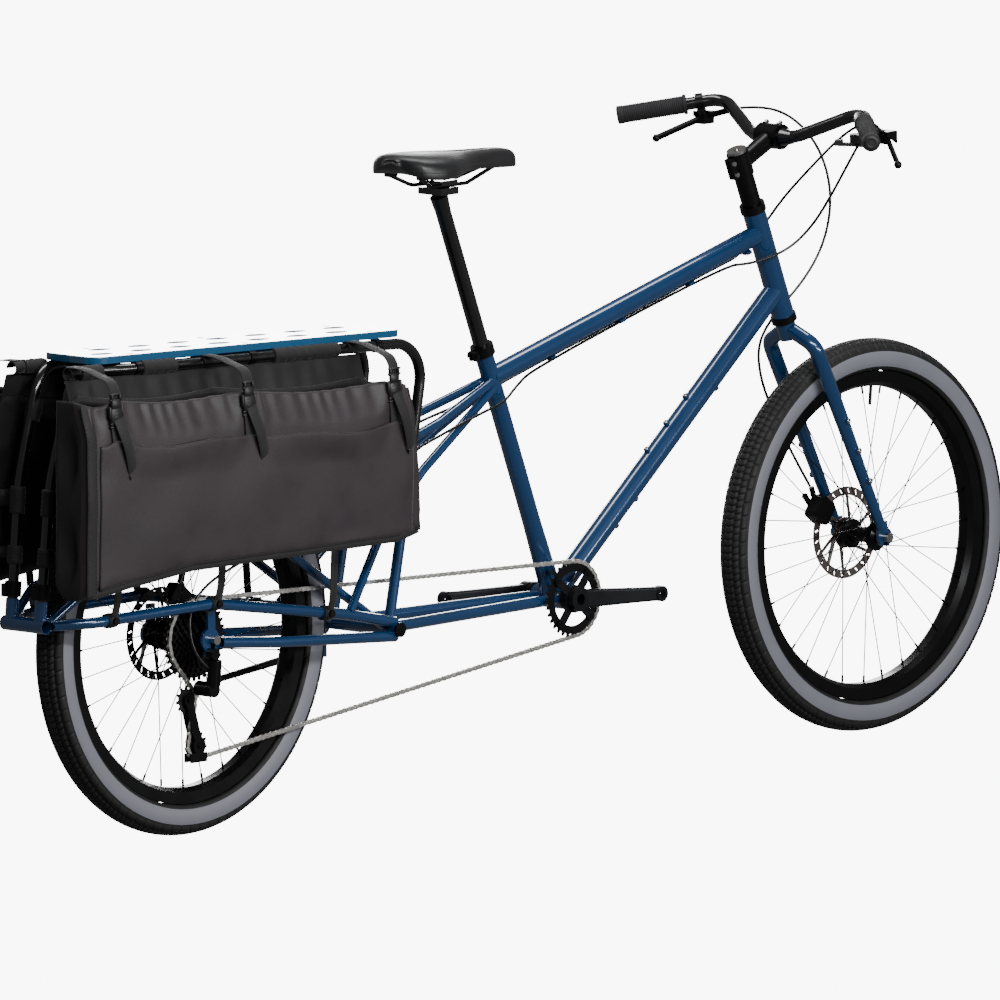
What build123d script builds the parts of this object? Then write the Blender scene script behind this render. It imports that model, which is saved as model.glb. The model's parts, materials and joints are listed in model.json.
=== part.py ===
from build123d import *
import os
from math import asin, atan2, cos, degrees, hypot, pi, radians, sin, tan

# Longtail cargo bicycle for one rider, with a wooden rear deck, two rack hoops and two side bags.
# Units are millimetres.  +X points forward, +Y to the rider's left, +Z up.  The ground is Z = 0,
# the bicycle's middle plane is Y = 0, and X = 0 is the middle of its overall length.
# Places below are written from the rear axle: x forward of it, y to the left, z above the ground.

# ---- Driving dimensions ----------------------------------------------------------------------
REAR_X = -818.5            # rear axle in the part's own frame
WHEELBASE = 1698.0
TYRE_R = 341.0             # 26 x 2.5 inch tyre
TYRE_W = 64.0
RIM_R = 285.5              # rim flange
RIM_W = 41.4
SPOKES = 32
BOTTOM_X, BOTTOM_Z = 920.0, 314.0      # bottom bracket
FRAME_ANGLE = 69.0         # seat tube and steering axis, from the ground
HEAD_X, HEAD_Z = 1505.0, 736.0         # where the lower headset cup meets the steering axis
HEAD_LENGTH = 200.0
HEAD_OD, HEAD_ID = 40.0, 34.0
SEAT_LENGTH = 482.0
SEAT_OD, SEAT_ID = 31.8, 27.3
POST_OD = 27.2
POST_TOP = 770.0           # seatpost head, along the seat tube from the bottom bracket
POST_LENGTH = 400.0
TOP_OD, DOWN_OD = 35.0, 38.0
STAY_OD = 16.0
RAIL_OD = 19.05            # three quarter inch frame rails and rack tube
CROSS_OD, CROSS_ID = 25.4, 21.8
REAR_CROSS = (-381.0, 400.0)
FRONT_CROSS = (441.0, 314.0)
RACK_Y = 66.0              # rack rails and front rack legs, either side of the middle
CRANK = 175.0
CRANK_TURN = 1.8           # resting crank angle below level, degrees
PITCH = 12.7               # half inch chain
RING_TEETH, COG_TEETH, PULLEY_TEETH = 32, 32, 11
RING_Y = -48.0             # chainring plane
COG_Y = -33.4              # plane of the cog in use, and of the derailleur pulleys
COG_STEP = 4.2
CASSETTE = (36, 32, 28, 24, 21, 18, 15, 13, 11)
GUIDE = (-24.0, 237.0)
TENSION = (0.0, 156.0)
ROTOR_R = 80.0
FRONT_ROTOR_Y, REAR_ROTOR_Y = 40.0, 52.0
DECK_TILT = 2.0            # the deck and rails fall this much toward the front, degrees
DECK_LENGTH, DECK_WIDTH, DECK_THICK = 765.0, 132.0, 12.0
DECK_X, RAIL_Z = 107.0, 814.0          # middle of the deck, and the rail centre below it
BAG_IN, BAG_OUT, BAG_WALL = 80.0, 168.0, 3.0
CABLE_OD = 5.0
GUIDE_Y = 5.5              # cables side by side under the top tube
STAND_X, STAND_Z, STAND_PIN_R = 425.0, 264.0, 4.9
BAR_OD, BAR_CLAMP_OD, GRIP_LENGTH = 22.2, 31.8, 118.0
STEERER_R = 14.3
GAP = 0.1                  # welded or pressed neighbours are cut back by this much

AXLE_Z = TYRE_R


# ---- Helpers ---------------------------------------------------------------------------------
def at(x, y, z):
    """A place measured from the rear axle, in the part's own frame."""
    return Vector(REAR_X + x, y, z)


def flip(points):
    """The same places on the other side of the bicycle."""
    return [(x, -y, z) for x, y, z in points]


def rod(a, b, radius, radius_b=None):
    """A round bar from a to b, tapered when a second radius is given."""
    start, end = at(*a), at(*b)
    place = Plane(origin=start, z_dir=end - start)
    low = (Align.CENTER, Align.CENTER, Align.MIN)
    height = (end - start).length
    if radius_b is None:
        return place * Cylinder(radius, height, align=low)
    return place * Cone(radius, radius_b, height, align=low)


def sleeve(a, b, outer, inner):
    """A straight hollow tube from a to b, by radii."""
    start, end = at(*a), at(*b)
    extra = (end - start).normalized() * 2
    bore_a = (a[0] - extra.X, a[1] - extra.Y, a[2] - extra.Z)
    bore_b = (b[0] + extra.X, b[1] + extra.Y, b[2] + extra.Z)
    return rod(a, b, outer) - rod(bore_a, bore_b, inner)


def disc(x, y_a, y_b, z, radius, bore=0):
    """A disc or ring whose axis is across the bicycle."""
    solid = rod((x, y_a, z), (x, y_b, z), radius)
    if bore:
        solid -= rod((x, min(y_a, y_b) - 1, z), (x, max(y_a, y_b) + 1, z), bore)
    return solid


def box(x, y, z, dx, dy, dz):
    """A block by its middle and size."""
    return Pos(at(x, y, z)) * Box(dx, dy, dz)


def path(points, bends):
    """Straight runs joined by tangent arcs.  bends is one radius, a list, or None for large arcs."""
    places = [at(*p) for p in points]
    count = len(places) - 2
    radii = bends if isinstance(bends, (list, tuple)) else [bends] * count
    edges = []
    start = places[0]
    for i in range(1, count + 1):
        before = places[i - 1] - places[i]
        after = places[i + 1] - places[i]
        u, v = before.normalized(), after.normalized()
        half_turn = radians(180 - u.get_angle(v)) / 2
        cut = 0.45 * min(before.length, after.length)
        if radii[i - 1] is not None:
            cut = min(radii[i - 1] * tan(half_turn), cut)
        radius = cut / tan(half_turn)
        arc_start = places[i] + u * cut
        arc_end = places[i] + v * cut
        middle = places[i] + (u + v).normalized() * (radius / cos(half_turn) - radius)
        edges.append(Line(start, arc_start).edge())
        edges.append(ThreePointArc(arc_start, middle, arc_end).edge())
        start = arc_end
    edges.append(Line(start, places[-1]).edge())
    return Wire(edges)


def tube(points, diameter, bends=None, wall=0.0):
    """A bent bar along the points, hollow when a wall is given."""
    wire = path(points, bends)
    place = Plane(origin=wire.position_at(0), z_dir=wire.tangent_at(0))
    solid = sweep(place * Circle(diameter / 2), path=wire)
    if wall:
        solid -= sweep(place * Circle(diameter / 2 - wall), path=wire)
    return solid


def both(make):
    """One solid for each side; make gets -1 for the right side and +1 for the left."""
    return [make(-1), make(1)]


def group(*solids):
    """Separate solids in one node."""
    flat = []
    for item in solids:
        flat += [s for part in item for s in part.solids()] if isinstance(item, list) else item.solids()
    return Compound(children=flat)


def on_steer(s, forward=0.0, y=0.0):
    """A place on the steering axis, s above the lower cup and forward of the axis."""
    lean = radians(FRAME_ANGLE)
    return (HEAD_X - s * cos(lean) + forward * sin(lean), y, HEAD_Z + s * sin(lean) + forward * cos(lean))


def on_seat(s, forward=0.0, y=0.0):
    """A place on the seat tube axis, s above the bottom bracket and forward of the axis."""
    lean = radians(FRAME_ANGLE)
    return (BOTTOM_X - s * cos(lean) + forward * sin(lean), y, BOTTOM_Z + s * sin(lean) + forward * cos(lean))


def rail_z(x):
    """Height of the rack rails' centre at x."""
    return RAIL_Z - (x - DECK_X) * tan(radians(DECK_TILT))


# ---- Front triangle --------------------------------------------------------------------------
TOP_A, TOP_B = (768.0, 0, 708.0), (1445.0, 0, 891.0)
DOWN_A, DOWN_B = (BOTTOM_X, 0, BOTTOM_Z), (1484.0, 0, 790.0)


def head_tube():
    return sleeve(on_steer(8), on_steer(8 + HEAD_LENGTH), HEAD_OD / 2, HEAD_ID / 2)


def seat_tube():
    """Seat tube and bottom bracket shell, bored for the post and for the bearing cups."""
    shell = disc(BOTTOM_X, -36.5, 36.5, BOTTOM_Z, 20)
    solid = rod(on_seat(0), on_seat(SEAT_LENGTH), SEAT_OD / 2) + rod(on_seat(0), on_seat(150), 19, SEAT_OD / 2)
    solid += shell
    solid -= rod(on_seat(24), on_seat(SEAT_LENGTH + 5), SEAT_ID / 2)
    solid -= disc(BOTTOM_X, -40, 40, BOTTOM_Z, 17.2)
    slot = Plane(origin=at(*on_seat(SEAT_LENGTH - 18, -14)), z_dir=at(*on_seat(1)) - at(*on_seat(0)))
    return solid - slot * Box(14, 2.5, 40)


def main_tube(a, b, diameter, wall):
    """Top or down tube, mitred to the tubes that it meets."""
    solid = sleeve(a, b, diameter / 2, diameter / 2 - wall)
    solid -= rod(on_steer(-10), on_steer(HEAD_LENGTH + 30), HEAD_OD / 2 + GAP)
    solid -= rod(on_seat(0), on_seat(SEAT_LENGTH), SEAT_OD / 2 + GAP)
    solid -= rod(on_seat(0), on_seat(150), 19 + GAP, SEAT_OD / 2 + GAP)
    solid -= disc(BOTTOM_X, -40, 40, BOTTOM_Z, 20 + GAP)
    return max(solid.solids(), key=lambda s: s.volume)


# ---- Rear frame: side rails, stays, cross tubes ------------------------------------------------
SIDE_RAIL = [(-381, -40, 400), (-300, -84, 402), (-12, -84, 405), (322, -82, 352), (441, -82, 326)]
LOWER_STAY = [(16, -77, 335), (150, -81, 322), (441, -82, 302)]
MAIN_STAY = [(441, -60, 314), (850, -31, 314), (920, -23, 314)]
SEAT_STAY = [(772, -8, 705), (600, -38, 650), (300, -60, 572), (-300, -60, 452), (-381, -40, 396)]
STEEP_STAY = [(768, -8, 690), (562, -36, 572), (452, -46, 485), (328, -84, 356)]
STRUT = [(441, -RACK_Y, 314), (474, -RACK_Y, 470)]
BRACE = [(441, -62, 314), (107, -60, 530)]
HOOP = [(-379.5, -34, 414), (-356, -37, 640), (-300, -40, rail_z(-300)), (-200, -RACK_Y, rail_z(-200)),
        (537, -RACK_Y, rail_z(537)), (476, -RACK_Y, 480)]
HOOP_BENDS = [300, 58, 200, 62]


def hoop_leg(z):
    """The middle of the right hoop's rear leg, or of its socket, at height z."""
    share = (z - HOOP[0][2]) / (HOOP[1][2] - HOOP[0][2])
    return tuple(a + (b - a) * share for a, b in zip(HOOP[0], HOOP[1]))


SOCKET = [hoop_leg(400), hoop_leg(442)]
SOCKET_OD = 22.2


def rear_tube(points, diameter, wall, bends=60):
    """A left and a right rail or stay, cut back where they meet the cross tubes and the front triangle."""
    solids = []
    for run in (points, flip(points)):
        solid = tube(run, diameter, bends, wall)
        for x, z in (REAR_CROSS, FRONT_CROSS):
            solid -= disc(x, -120, 120, z, CROSS_OD / 2 + GAP)
        side = -1 if run is points else 1
        for upright, outer in ((SOCKET, SOCKET_OD), (STRUT, RAIL_OD)):
            solid -= tube(upright if side < 0 else flip(upright), outer + 2 * GAP)
        solid -= rod(on_seat(0), on_seat(SEAT_LENGTH), SEAT_OD / 2 + GAP)
        solid -= rod(TOP_A, TOP_B, TOP_OD / 2 + GAP)
        solid -= disc(BOTTOM_X, -37, 37, BOTTOM_Z, 20 + GAP)
        solids.append(solid)
    return largest(solids)


def cut_by(solids, points, diameter, bends=60):
    """Cut a left and right pair back by another pair of bent bars."""
    result = []
    for solid, run in zip(solids, (points, flip(points))):
        result.append(solid - tube(run, diameter + 2 * GAP, bends))
    return largest(result)


def largest(solids):
    """The main piece of each solid that cutting left in two."""
    return [max(solid.solids(), key=lambda s: s.volume) for solid in solids]


def dropout(side):
    """Rear frame end: a plate with the axle slot, welded between the side rail and the lower stay."""
    y_in, y_out = side * 67.5, side * 74.0
    plate = rod((-4, y_in, 340), (-4, y_out, 340), 21) + box(14, (y_in + y_out) / 2, 335, 36, 6.5, 20)
    plate += box(-2, (y_in + y_out) / 2, 368, 18, 6.5, 46)
    plate -= rod((0, y_in * 0.9, AXLE_Z), (0, y_out * 1.1, AXLE_Z), 5.1)
    plate -= box(0, (y_in + y_out) / 2, AXLE_Z - 14, 10.2, 10, 28)
    if side < 0:
        plate += disc(-8, -67.5, -74.0, 318, 9)
    rail = tube(SIDE_RAIL if side < 0 else flip(SIDE_RAIL), RAIL_OD + 2 * GAP, 60)
    return max((plate - rail).solids(), key=lambda s: s.volume)


def lower_stays():
    stays = rear_tube(LOWER_STAY, RAIL_OD, 1.6, 200)
    ends = both(dropout)
    return [stay - box(0, 0, 335, 44, 148.2, 60) + end for stay, end in zip(stays, ends)]


def cross_tubes():
    """Open cross tubes front and rear, with the rack sockets and legs standing on them."""
    solids = []
    for (x, z), half in ((REAR_CROSS, 49), (FRONT_CROSS, 92)):
        solids.append(disc(x, -half, half, z, CROSS_OD / 2, CROSS_ID / 2))
    for run in (SOCKET, flip(SOCKET)):
        socket = sleeve(run[0], run[1], SOCKET_OD / 2, RAIL_OD / 2 + GAP)
        solids[0] += socket - disc(*REAR_CROSS[:1], -60, 60, REAR_CROSS[1], CROSS_OD / 2 - 0.5)
    for run in (STRUT, flip(STRUT)):
        leg = sleeve(run[0], run[1], RAIL_OD / 2, 7.5)
        solids[1] += leg - disc(FRONT_CROSS[0], -100, 100, FRONT_CROSS[1], CROSS_OD / 2 - 0.5)
    return solids


def frame_fittings():
    """Threaded bosses, cable guides, the kickstand plate and the brake mounts."""
    fittings = []
    down = (at(*DOWN_B) - at(*DOWN_A)).normalized()
    normal = Vector(-down.Z, 0, down.X)
    for s, lift in ((330, 1), (394, 1), (458, 1), (190, -1), (254, -1), (520, -1)):
        foot = at(*DOWN_A) + down * s + normal * lift * (DOWN_OD / 2 + GAP)
        boss = Plane(origin=foot, z_dir=normal * lift) * Cylinder(5.5, 5, align=(Align.CENTER,) * 2 + (Align.MIN,))
        boss -= Plane(origin=foot, z_dir=normal * lift) * Cylinder(2.1, 20)
        fittings.append(boss)
    along = (at(*TOP_B) - at(*TOP_A)).normalized()
    under = Vector(along.Z, 0, -along.X)
    for s in (150, 330, 510, 660):
        centre = at(*TOP_A) + along * s + under * (TOP_OD / 2 + GAP + 3)
        guide = Box(6, 18, 12)
        for y in (-GUIDE_Y, GUIDE_Y):
            guide -= Pos(0.8, y, 0) * Cylinder(CABLE_OD / 2 + 0.05, 20)
        fittings.append(Plane(origin=centre, x_dir=under, z_dir=along) * guide)
    plate = box(STAND_X, 84, 278, 36, 6, 52) - disc(FRONT_CROSS[0], 60, 100, FRONT_CROSS[1], CROSS_OD / 2 + GAP)
    plate -= tube(flip(LOWER_STAY), RAIL_OD + 2 * GAP, 200)
    plate = max(plate.solids(), key=lambda s: s.volume)
    pin = disc(STAND_X, 86, 103, STAND_Z, STAND_PIN_R) + disc(STAND_X, 102.4, 105, STAND_Z, 8)
    fittings.append(plate + pin)
    return fittings


# ---- Rack, deck and bags ---------------------------------------------------------------------
DECK_BOLTS = (-280.0, 0.0, 310.0)       # along the board from its middle
CLIP = 2.2                 # rail clips hold the board this far above the rails


def hoop_room(side):
    """The space that a rack hoop fills, with a fitting gap."""
    return tube(HOOP if side < 0 else flip(HOOP), RAIL_OD + 2 * GAP, HOOP_BENDS)


def rack_hoops():
    """A bent tube each side: socketed behind the wheel, along the deck's edge and down to the front leg."""
    hoops = []
    for run in (HOOP, flip(HOOP)):
        foot = run[-1]
        spigot = rod((467.7, foot[1], 440), (478.5, foot[1], 492), 7.4)
        hoops.append(tube(run, RAIL_OD, HOOP_BENDS, 1.6) + spigot)
    return hoops


def on_side(side, place):
    return place if side < 0 else (place[0], -place[1], place[2])


def rack_collars():
    """Pinch collars on the four rack joints, with end plugs in the front cross tube."""
    solids = []
    for side in (-1, 1):
        rear = rod(on_side(side, hoop_leg(445)), on_side(side, hoop_leg(471)), 14.5)
        rear += box(-392, side * 34.6, 458, 12, 12, 22)
        front = rod((474.4, side * RACK_Y, 472), (479, side * RACK_Y, 494), 14)
        leg = rod((470, side * RACK_Y, 450), (477, side * RACK_Y, 484), RAIL_OD / 2 + GAP)
        solids += [rear - hoop_room(side), front - hoop_room(side) - leg]
        solids.append(disc(FRONT_CROSS[0], side * 92.1, side * 97, FRONT_CROSS[1], CROSS_OD / 2)
                      + disc(FRONT_CROSS[0], side * 80, side * 92.2, FRONT_CROSS[1], CROSS_ID / 2 - 0.05))
    return solids + [seat_collar()]


BAG_TIES = ((-8, 405.4), (268, 360.3), (-262, 402.2))      # x and z on the side rails


def bag_mounts():
    """Soft cuffs on the uprights, and the loops that tie the bags' lower edges to the side rails."""
    solids = []
    for side in (-1, 1):
        for low, high in ((hoop_leg(585), hoop_leg(632)), ((-322.5, -38.8, 738), (-309.0, -39.5, 776))):
            cuff = rod(on_side(side, low), on_side(side, high), 13.5) - hoop_room(side)
            solids.append(max(cuff.solids(), key=lambda s: s.volume))
        for x, z in BAG_TIES:
            tie = box(x, side * 84, z, 22, 28, 26)
            tie -= tube(SIDE_RAIL if side < 0 else flip(SIDE_RAIL), RAIL_OD + 2 * GAP, 60)
            solids.append(max(tie.solids(), key=lambda s: s.volume))
    return solids


def deck_plane():
    """The middle of the board's underside; x runs forward along it."""
    lean = radians(DECK_TILT)
    centre = at(DECK_X, 0, rail_z(DECK_X) + RAIL_OD / 2 / cos(lean) + CLIP)
    return Plane(origin=centre, x_dir=(cos(lean), 0, -sin(lean)), z_dir=(sin(lean), 0, cos(lean)))


def deck():
    """The painted board on the rails, with a staggered pattern of lens-shaped cut-outs."""
    outline = RectangleRounded(DECK_LENGTH, DECK_WIDTH, 32)
    for column in range(7):
        for row in (-1, 1):
            spot = Pos(-300 + 96 * column + 24 * row, row * 26)
            outline -= spot * lens(52, 20)
    board = extrude(outline, DECK_THICK)
    for x in DECK_BOLTS:
        for y in (-52, 52):
            board -= Pos(x, y, 0) * Cylinder(2.6, 60)
            board -= Pos(x, y, DECK_THICK + 7.25) * Cylinder(5.15, 20)
    return deck_plane() * fillet(board.edges().filter_by(Plane.XY).group_by(Axis.Z)[-1], 2)


def lens(length, width):
    """A pointed lens made of two equal arcs."""
    arcs = [ThreePointArc((-length / 2, 0), (0, s * width / 2), (length / 2, 0)) for s in (1, -1)]
    return make_face(Curve() + arcs)


def bag_profile(shrink=0.0):
    """The bag's side outline, smaller all round for its inside."""
    s = shrink
    return [(-402 + s, 446 + s * 1.3), (-140, 476 + s), (369, 474 + s), (430 - s, 486 + s), (434 - s, 530),
            (410 - s, 757), (-396 + s, 798)]


def bag(side):
    """An open-topped bag with thin walls."""
    def prism(shrink, y_in, y_out, lift=0.0):
        corners = bag_profile(shrink)
        top = [(x, z + lift) for x, z in corners[-2:]]
        face = make_face(Polyline([at(x, 0, z) for x, z in corners[:-2] + top], close=True))
        solid = extrude(face, y_out - y_in, dir=(0, 1, 0))
        return Pos(0, min(side * y_in, side * y_out), 0) * solid
    outside = prism(0.0, BAG_IN, BAG_OUT)
    return outside - prism(BAG_WALL, BAG_IN + BAG_WALL, BAG_OUT - BAG_WALL, 40)


STRAPS = (-330.0, -5.0, 352.0)


def bag_straps():
    """Webbing from each rail to a side-release buckle on the bag, with the loose tail below it."""
    solids = []
    for side in (-1, 1):
        for x in STRAPS:
            top = rail_z(x)
            rail_a, rail_b = (x - 12.5, side * RACK_Y, rail_z(x - 12.5)), (x + 12.5, side * RACK_Y, rail_z(x + 12.5))
            loop = rod(rail_a, rail_b, RAIL_OD / 2 + 2)
            web = Plane(origin=at(x, side * 118, top - 8), x_dir=(1, 0, 0),
                        z_dir=(0, side * 0.16, 1)) * Box(25, 88, 1.6)
            strap = loop + web - hoop_room(side)
            strap = max(strap.solids(), key=lambda s: s.volume)
            buckle = box(x, side * 173.5, top - 46, 34, 9, 58)
            tail = box(x + 3, side * 170.6, top - 125, 25, 1.6, 98)
            solids += [strap, buckle, tail]
    return solids


# ---- Wheels ----------------------------------------------------------------------------------
def spin(outline, x):
    """Revolve an outline of (radius, y) corners about a wheel axle at x."""
    face = make_face(Polyline([at(x, y, AXLE_Z + r) for r, y in outline], close=True))
    axle = Axis(at(x, 0, AXLE_Z), (0, 1, 0))
    return revolve(face, axle, 360)


def tyre(x):
    """A hollow casing whose beads sit inside the rim's hooks."""
    crown, side = TYRE_R, TYRE_W / 2
    outer = [(crown, -9), (crown, 9), (crown - 4, 19), (crown - 12, 27), (crown - 24, side), (crown - 36, side - 1),
             (crown - 48, 25), (RIM_R + 0.6, 19.4), (RIM_R - 0.4, 17.9), (RIM_R - 4.8, 17.9)]
    inner = [(RIM_R - 4.8, 14.6), (RIM_R + 2, 15.4), (crown - 46, 22), (crown - 30, 27.6), (crown - 20, 27),
             (crown - 12, 21), (crown - 7, 8)]
    mirrored = [(r, -y) for r, y in reversed(inner)] + [(r, -y) for r, y in reversed(outer[1:])]
    return spin(outer[1:] + inner + mirrored, x)


def rim(x):
    """A hooked double-wall section with a closed chamber and a valve."""
    half = RIM_W / 2
    outline = [(RIM_R, half), (RIM_R, half - 2.2), (RIM_R - 5.2, half - 2.7), (RIM_R - 6, half - 5), (RIM_R - 9, 8),
               (RIM_R - 9, -8), (RIM_R - 6, 5 - half), (RIM_R - 5.2, 2.7 - half), (RIM_R, 2.2 - half),
               (RIM_R, -half), (RIM_R - 20, -half + 2), (RIM_R - 27, -9), (RIM_R - 27, 9), (RIM_R - 20, half - 2)]
    chamber = [(RIM_R - 11, 8), (RIM_R - 11, -8), (RIM_R - 9, 5 - half), (RIM_R - 19, 4.5 - half), (RIM_R - 24.5, -8),
               (RIM_R - 24.5, 8), (RIM_R - 19, half - 4.5), (RIM_R - 9, half - 5)]
    valve_turn = pi / SPOKES
    foot = RIM_R - 26.9
    valve = rod((x + foot * sin(valve_turn), 0, AXLE_Z + foot * cos(valve_turn)),
                (x + (foot - 34) * sin(valve_turn), 0, AXLE_Z + (foot - 34) * cos(valve_turn)), 3)
    return spin(outline, x) - spin(chamber, x) + valve


def spokes(x, flange_left, flange_right, flange_r):
    """Crossed spokes with a nipple on each, from alternate hub flanges to the rim."""
    solids = []
    for i in range(SPOKES):
        rim_turn = 2 * pi * i / SPOKES
        cross = (1 if i % 4 < 2 else -1) * radians(360 / SPOKES * 5)
        hub_turn = rim_turn + cross
        flange = flange_left if i % 2 else flange_right
        flange += 1.4 if i % 4 < 2 else -1.4
        reach = RIM_R - 27.6
        hub = (x + flange_r * sin(hub_turn), flange, AXLE_Z + flange_r * cos(hub_turn))
        end_y = flange * 0.06
        end = (x + reach * sin(rim_turn), end_y, AXLE_Z + reach * cos(rim_turn))
        share = 1 - 13 / reach
        seat = tuple(h + (e - h) * share for h, e in zip(hub, end))
        solids.append(rod(hub, end, 1.0) + rod(seat, end, 2.0))
    return solids


def hub(x, y_left, y_right, flange_left, flange_right, flange_r, bore):
    """Hub shell with two spoke flanges and the disc mount on its left end."""
    outline = [(bore, y_right), (11, y_right), (12, flange_right - 7), (flange_r - 5, flange_right - 2.5),
               (flange_r + 3.5, flange_right - 2.5),
               (flange_r + 3.5, flange_right + 2.5), (15, flange_right + 6), (13, (flange_left + flange_right) / 2),
               (15, flange_left - 6), (flange_r + 3.5, flange_left - 2.5), (flange_r + 3.5, flange_left + 2.5),
               (20, flange_left + 4), (20, y_left), (bore, y_left)]
    shell = spin(outline, x)
    for wire in spokes(x, flange_left, flange_right, flange_r):
        shell -= wire
    return shell


def rotor(x, y):
    """Brake disc: slotted ring, six curved-looking arms and a bolt circle."""
    ring = disc(x, y - 0.9, y + 0.9, AXLE_Z, ROTOR_R, 65)
    slots = []
    for i in range(24):
        turn = 2 * pi * (i + 0.5) / 24
        reach = 72.5
        spot = at(x + reach * cos(turn), y, AXLE_Z + reach * sin(turn))
        slots.append(Plane(origin=spot, x_dir=(cos(turn + 0.5), 0, sin(turn + 0.5)), z_dir=(0, 1, 0))
                     * (Box(9, 3.2, 6)))
    ring -= slots
    ring += disc(x, y - 0.9, y + 0.9, AXLE_Z, 27, 20.2)
    for i in range(6):
        turn = 2 * pi * i / 6
        inner = at(x + 24 * cos(turn), y, AXLE_Z + 24 * sin(turn))
        outer = at(x + 67 * cos(turn + 0.45), y, AXLE_Z + 67 * sin(turn + 0.45))
        middle = (inner + outer) * 0.5
        span = outer - inner
        arm = Plane(origin=middle, x_dir=span, z_dir=(0, 1, 0)) * Box(span.length, 5.5, 1.8)
        ring += arm
        bolt = at(x + 22.5 * cos(turn), y + 1.2, AXLE_Z + 22.5 * sin(turn))
        ring += Plane(origin=bolt, z_dir=(0, 1, 0)) * Cylinder(2.2, 2.4)
    return ring - disc(x, y - 5, y + 5, AXLE_Z, 20.2)


def axle(x, half, knob):
    """Axle with fixed lock nuts, and the skewer's nut and lever outside the dropouts."""
    solid = disc(x, -half - 8, half + 8, AXLE_Z, 5)
    for side in (-1, 1):
        solid += disc(x, side * (half - 5), side * half, AXLE_Z, 8.5)
        solid += disc(x, side * (half + knob), side * (half + knob + 11), AXLE_Z, 8)
    lever = rod((x, half + knob + 6, AXLE_Z), (x - 16, half + knob + 10, AXLE_Z - 60), 4.5, 3)
    return solid + lever


# ---- Cranks, cassette, pulleys and chain ------------------------------------------------------
def sprocket(x, z, y, teeth, thick, bore):
    """A toothed disc for half inch chain, centred at x, z in the plane y."""
    radius = PITCH / (2 * sin(pi / teeth))
    corners = []
    for i in range(teeth):
        for share, lift in ((-0.32, -3.6), (-0.14, 2.6), (0.14, 2.6), (0.32, -3.6)):
            turn = 2 * pi * (i + share) / teeth
            corners.append(at(x + (radius + lift) * sin(turn), y - thick / 2, z + (radius + lift) * cos(turn)))
    solid = extrude(make_face(Polyline(corners, close=True)), thick, dir=(0, 1, 0))
    return solid - disc(x, y - thick, y + thick, z, bore)


def pitch_radius(teeth):
    return PITCH / (2 * sin(pi / teeth))


def turned(solid):
    """Swing a crank part to its resting angle."""
    return solid.rotate(Axis(at(BOTTOM_X, 0, BOTTOM_Z), (0, 1, 0)), CRANK_TURN)


SPIDER = [radians(45 + 90 * i + 7) for i in range(4)]


def chainring():
    ring = sprocket(BOTTOM_X, BOTTOM_Z, RING_Y, RING_TEETH, 1.8, 47)
    for turn in SPIDER:
        x, z = BOTTOM_X + 52 * cos(turn), BOTTOM_Z + 52 * sin(turn)
        ring += disc(x, RING_Y - 1, RING_Y + 1, z, 7.5)
        ring += disc(x, RING_Y + 2.6, RING_Y - 7.2, z, 4.6)
    return turned(ring)


def crank_arm(side):
    """A tapered arm from the spindle boss to the threaded pedal eye."""
    reach = side * -CRANK
    sections = []
    for share, y, wide, thick in ((0.0, 58, 34, 15), (0.35, 66, 30, 15), (0.7, 79, 26, 14), (1.0, 88.5, 24, 13)):
        place = Plane(origin=at(BOTTOM_X + reach * share, side * y, BOTTOM_Z), x_dir=(0, 1, 0), z_dir=(-side, 0, 0))
        sections.append(place * RectangleRounded(thick, wide, 4))
    arm = loft(sections)
    arm += disc(BOTTOM_X, side * 50, side * 67, BOTTOM_Z, 21)
    arm += disc(BOTTOM_X + reach, side * 82, side * 95, BOTTOM_Z, 13.5)
    return arm - disc(BOTTOM_X + reach, side * 70, side * 100, BOTTOM_Z, 7.14)


def right_crank():
    """Right arm with its spindle and the four-arm spider behind the chainring bolts."""
    crank = crank_arm(-1)
    spider = disc(BOTTOM_X, -54, -50, BOTTOM_Z, 24)
    for turn in SPIDER:
        tip = at(BOTTOM_X + 52 * cos(turn), -52, BOTTOM_Z + 52 * sin(turn))
        foot = at(BOTTOM_X + 14 * cos(turn), -52, BOTTOM_Z + 14 * sin(turn))
        span = tip - foot
        spider += Plane(origin=(tip + foot) * 0.5, x_dir=span, z_dir=(0, 1, 0)) * Box(span.length, 15, 3.8)
        spider += disc(BOTTOM_X + 52 * cos(turn), -53.9, -50.1, BOTTOM_Z + 52 * sin(turn), 7.5)
    for turn in SPIDER:
        spider -= disc(BOTTOM_X + 52 * cos(turn), -60, -45, BOTTOM_Z + 52 * sin(turn), 4.65)
    crank += spider
    crank += disc(BOTTOM_X, -52, 49.9, BOTTOM_Z, 12)
    crank -= disc(BOTTOM_X, -70, 52, BOTTOM_Z, 9.5)
    return turned(crank)


def left_crank():
    crank = crank_arm(1) - disc(BOTTOM_X, 60, 70, BOTTOM_Z, 9.5)
    for drop in (-11, 11):
        crank -= rod((BOTTOM_X + 12, 58, BOTTOM_Z + drop - 14), (BOTTOM_X + 12, 58, BOTTOM_Z + drop - 22), 2.6)
    return turned(crank)


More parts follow.
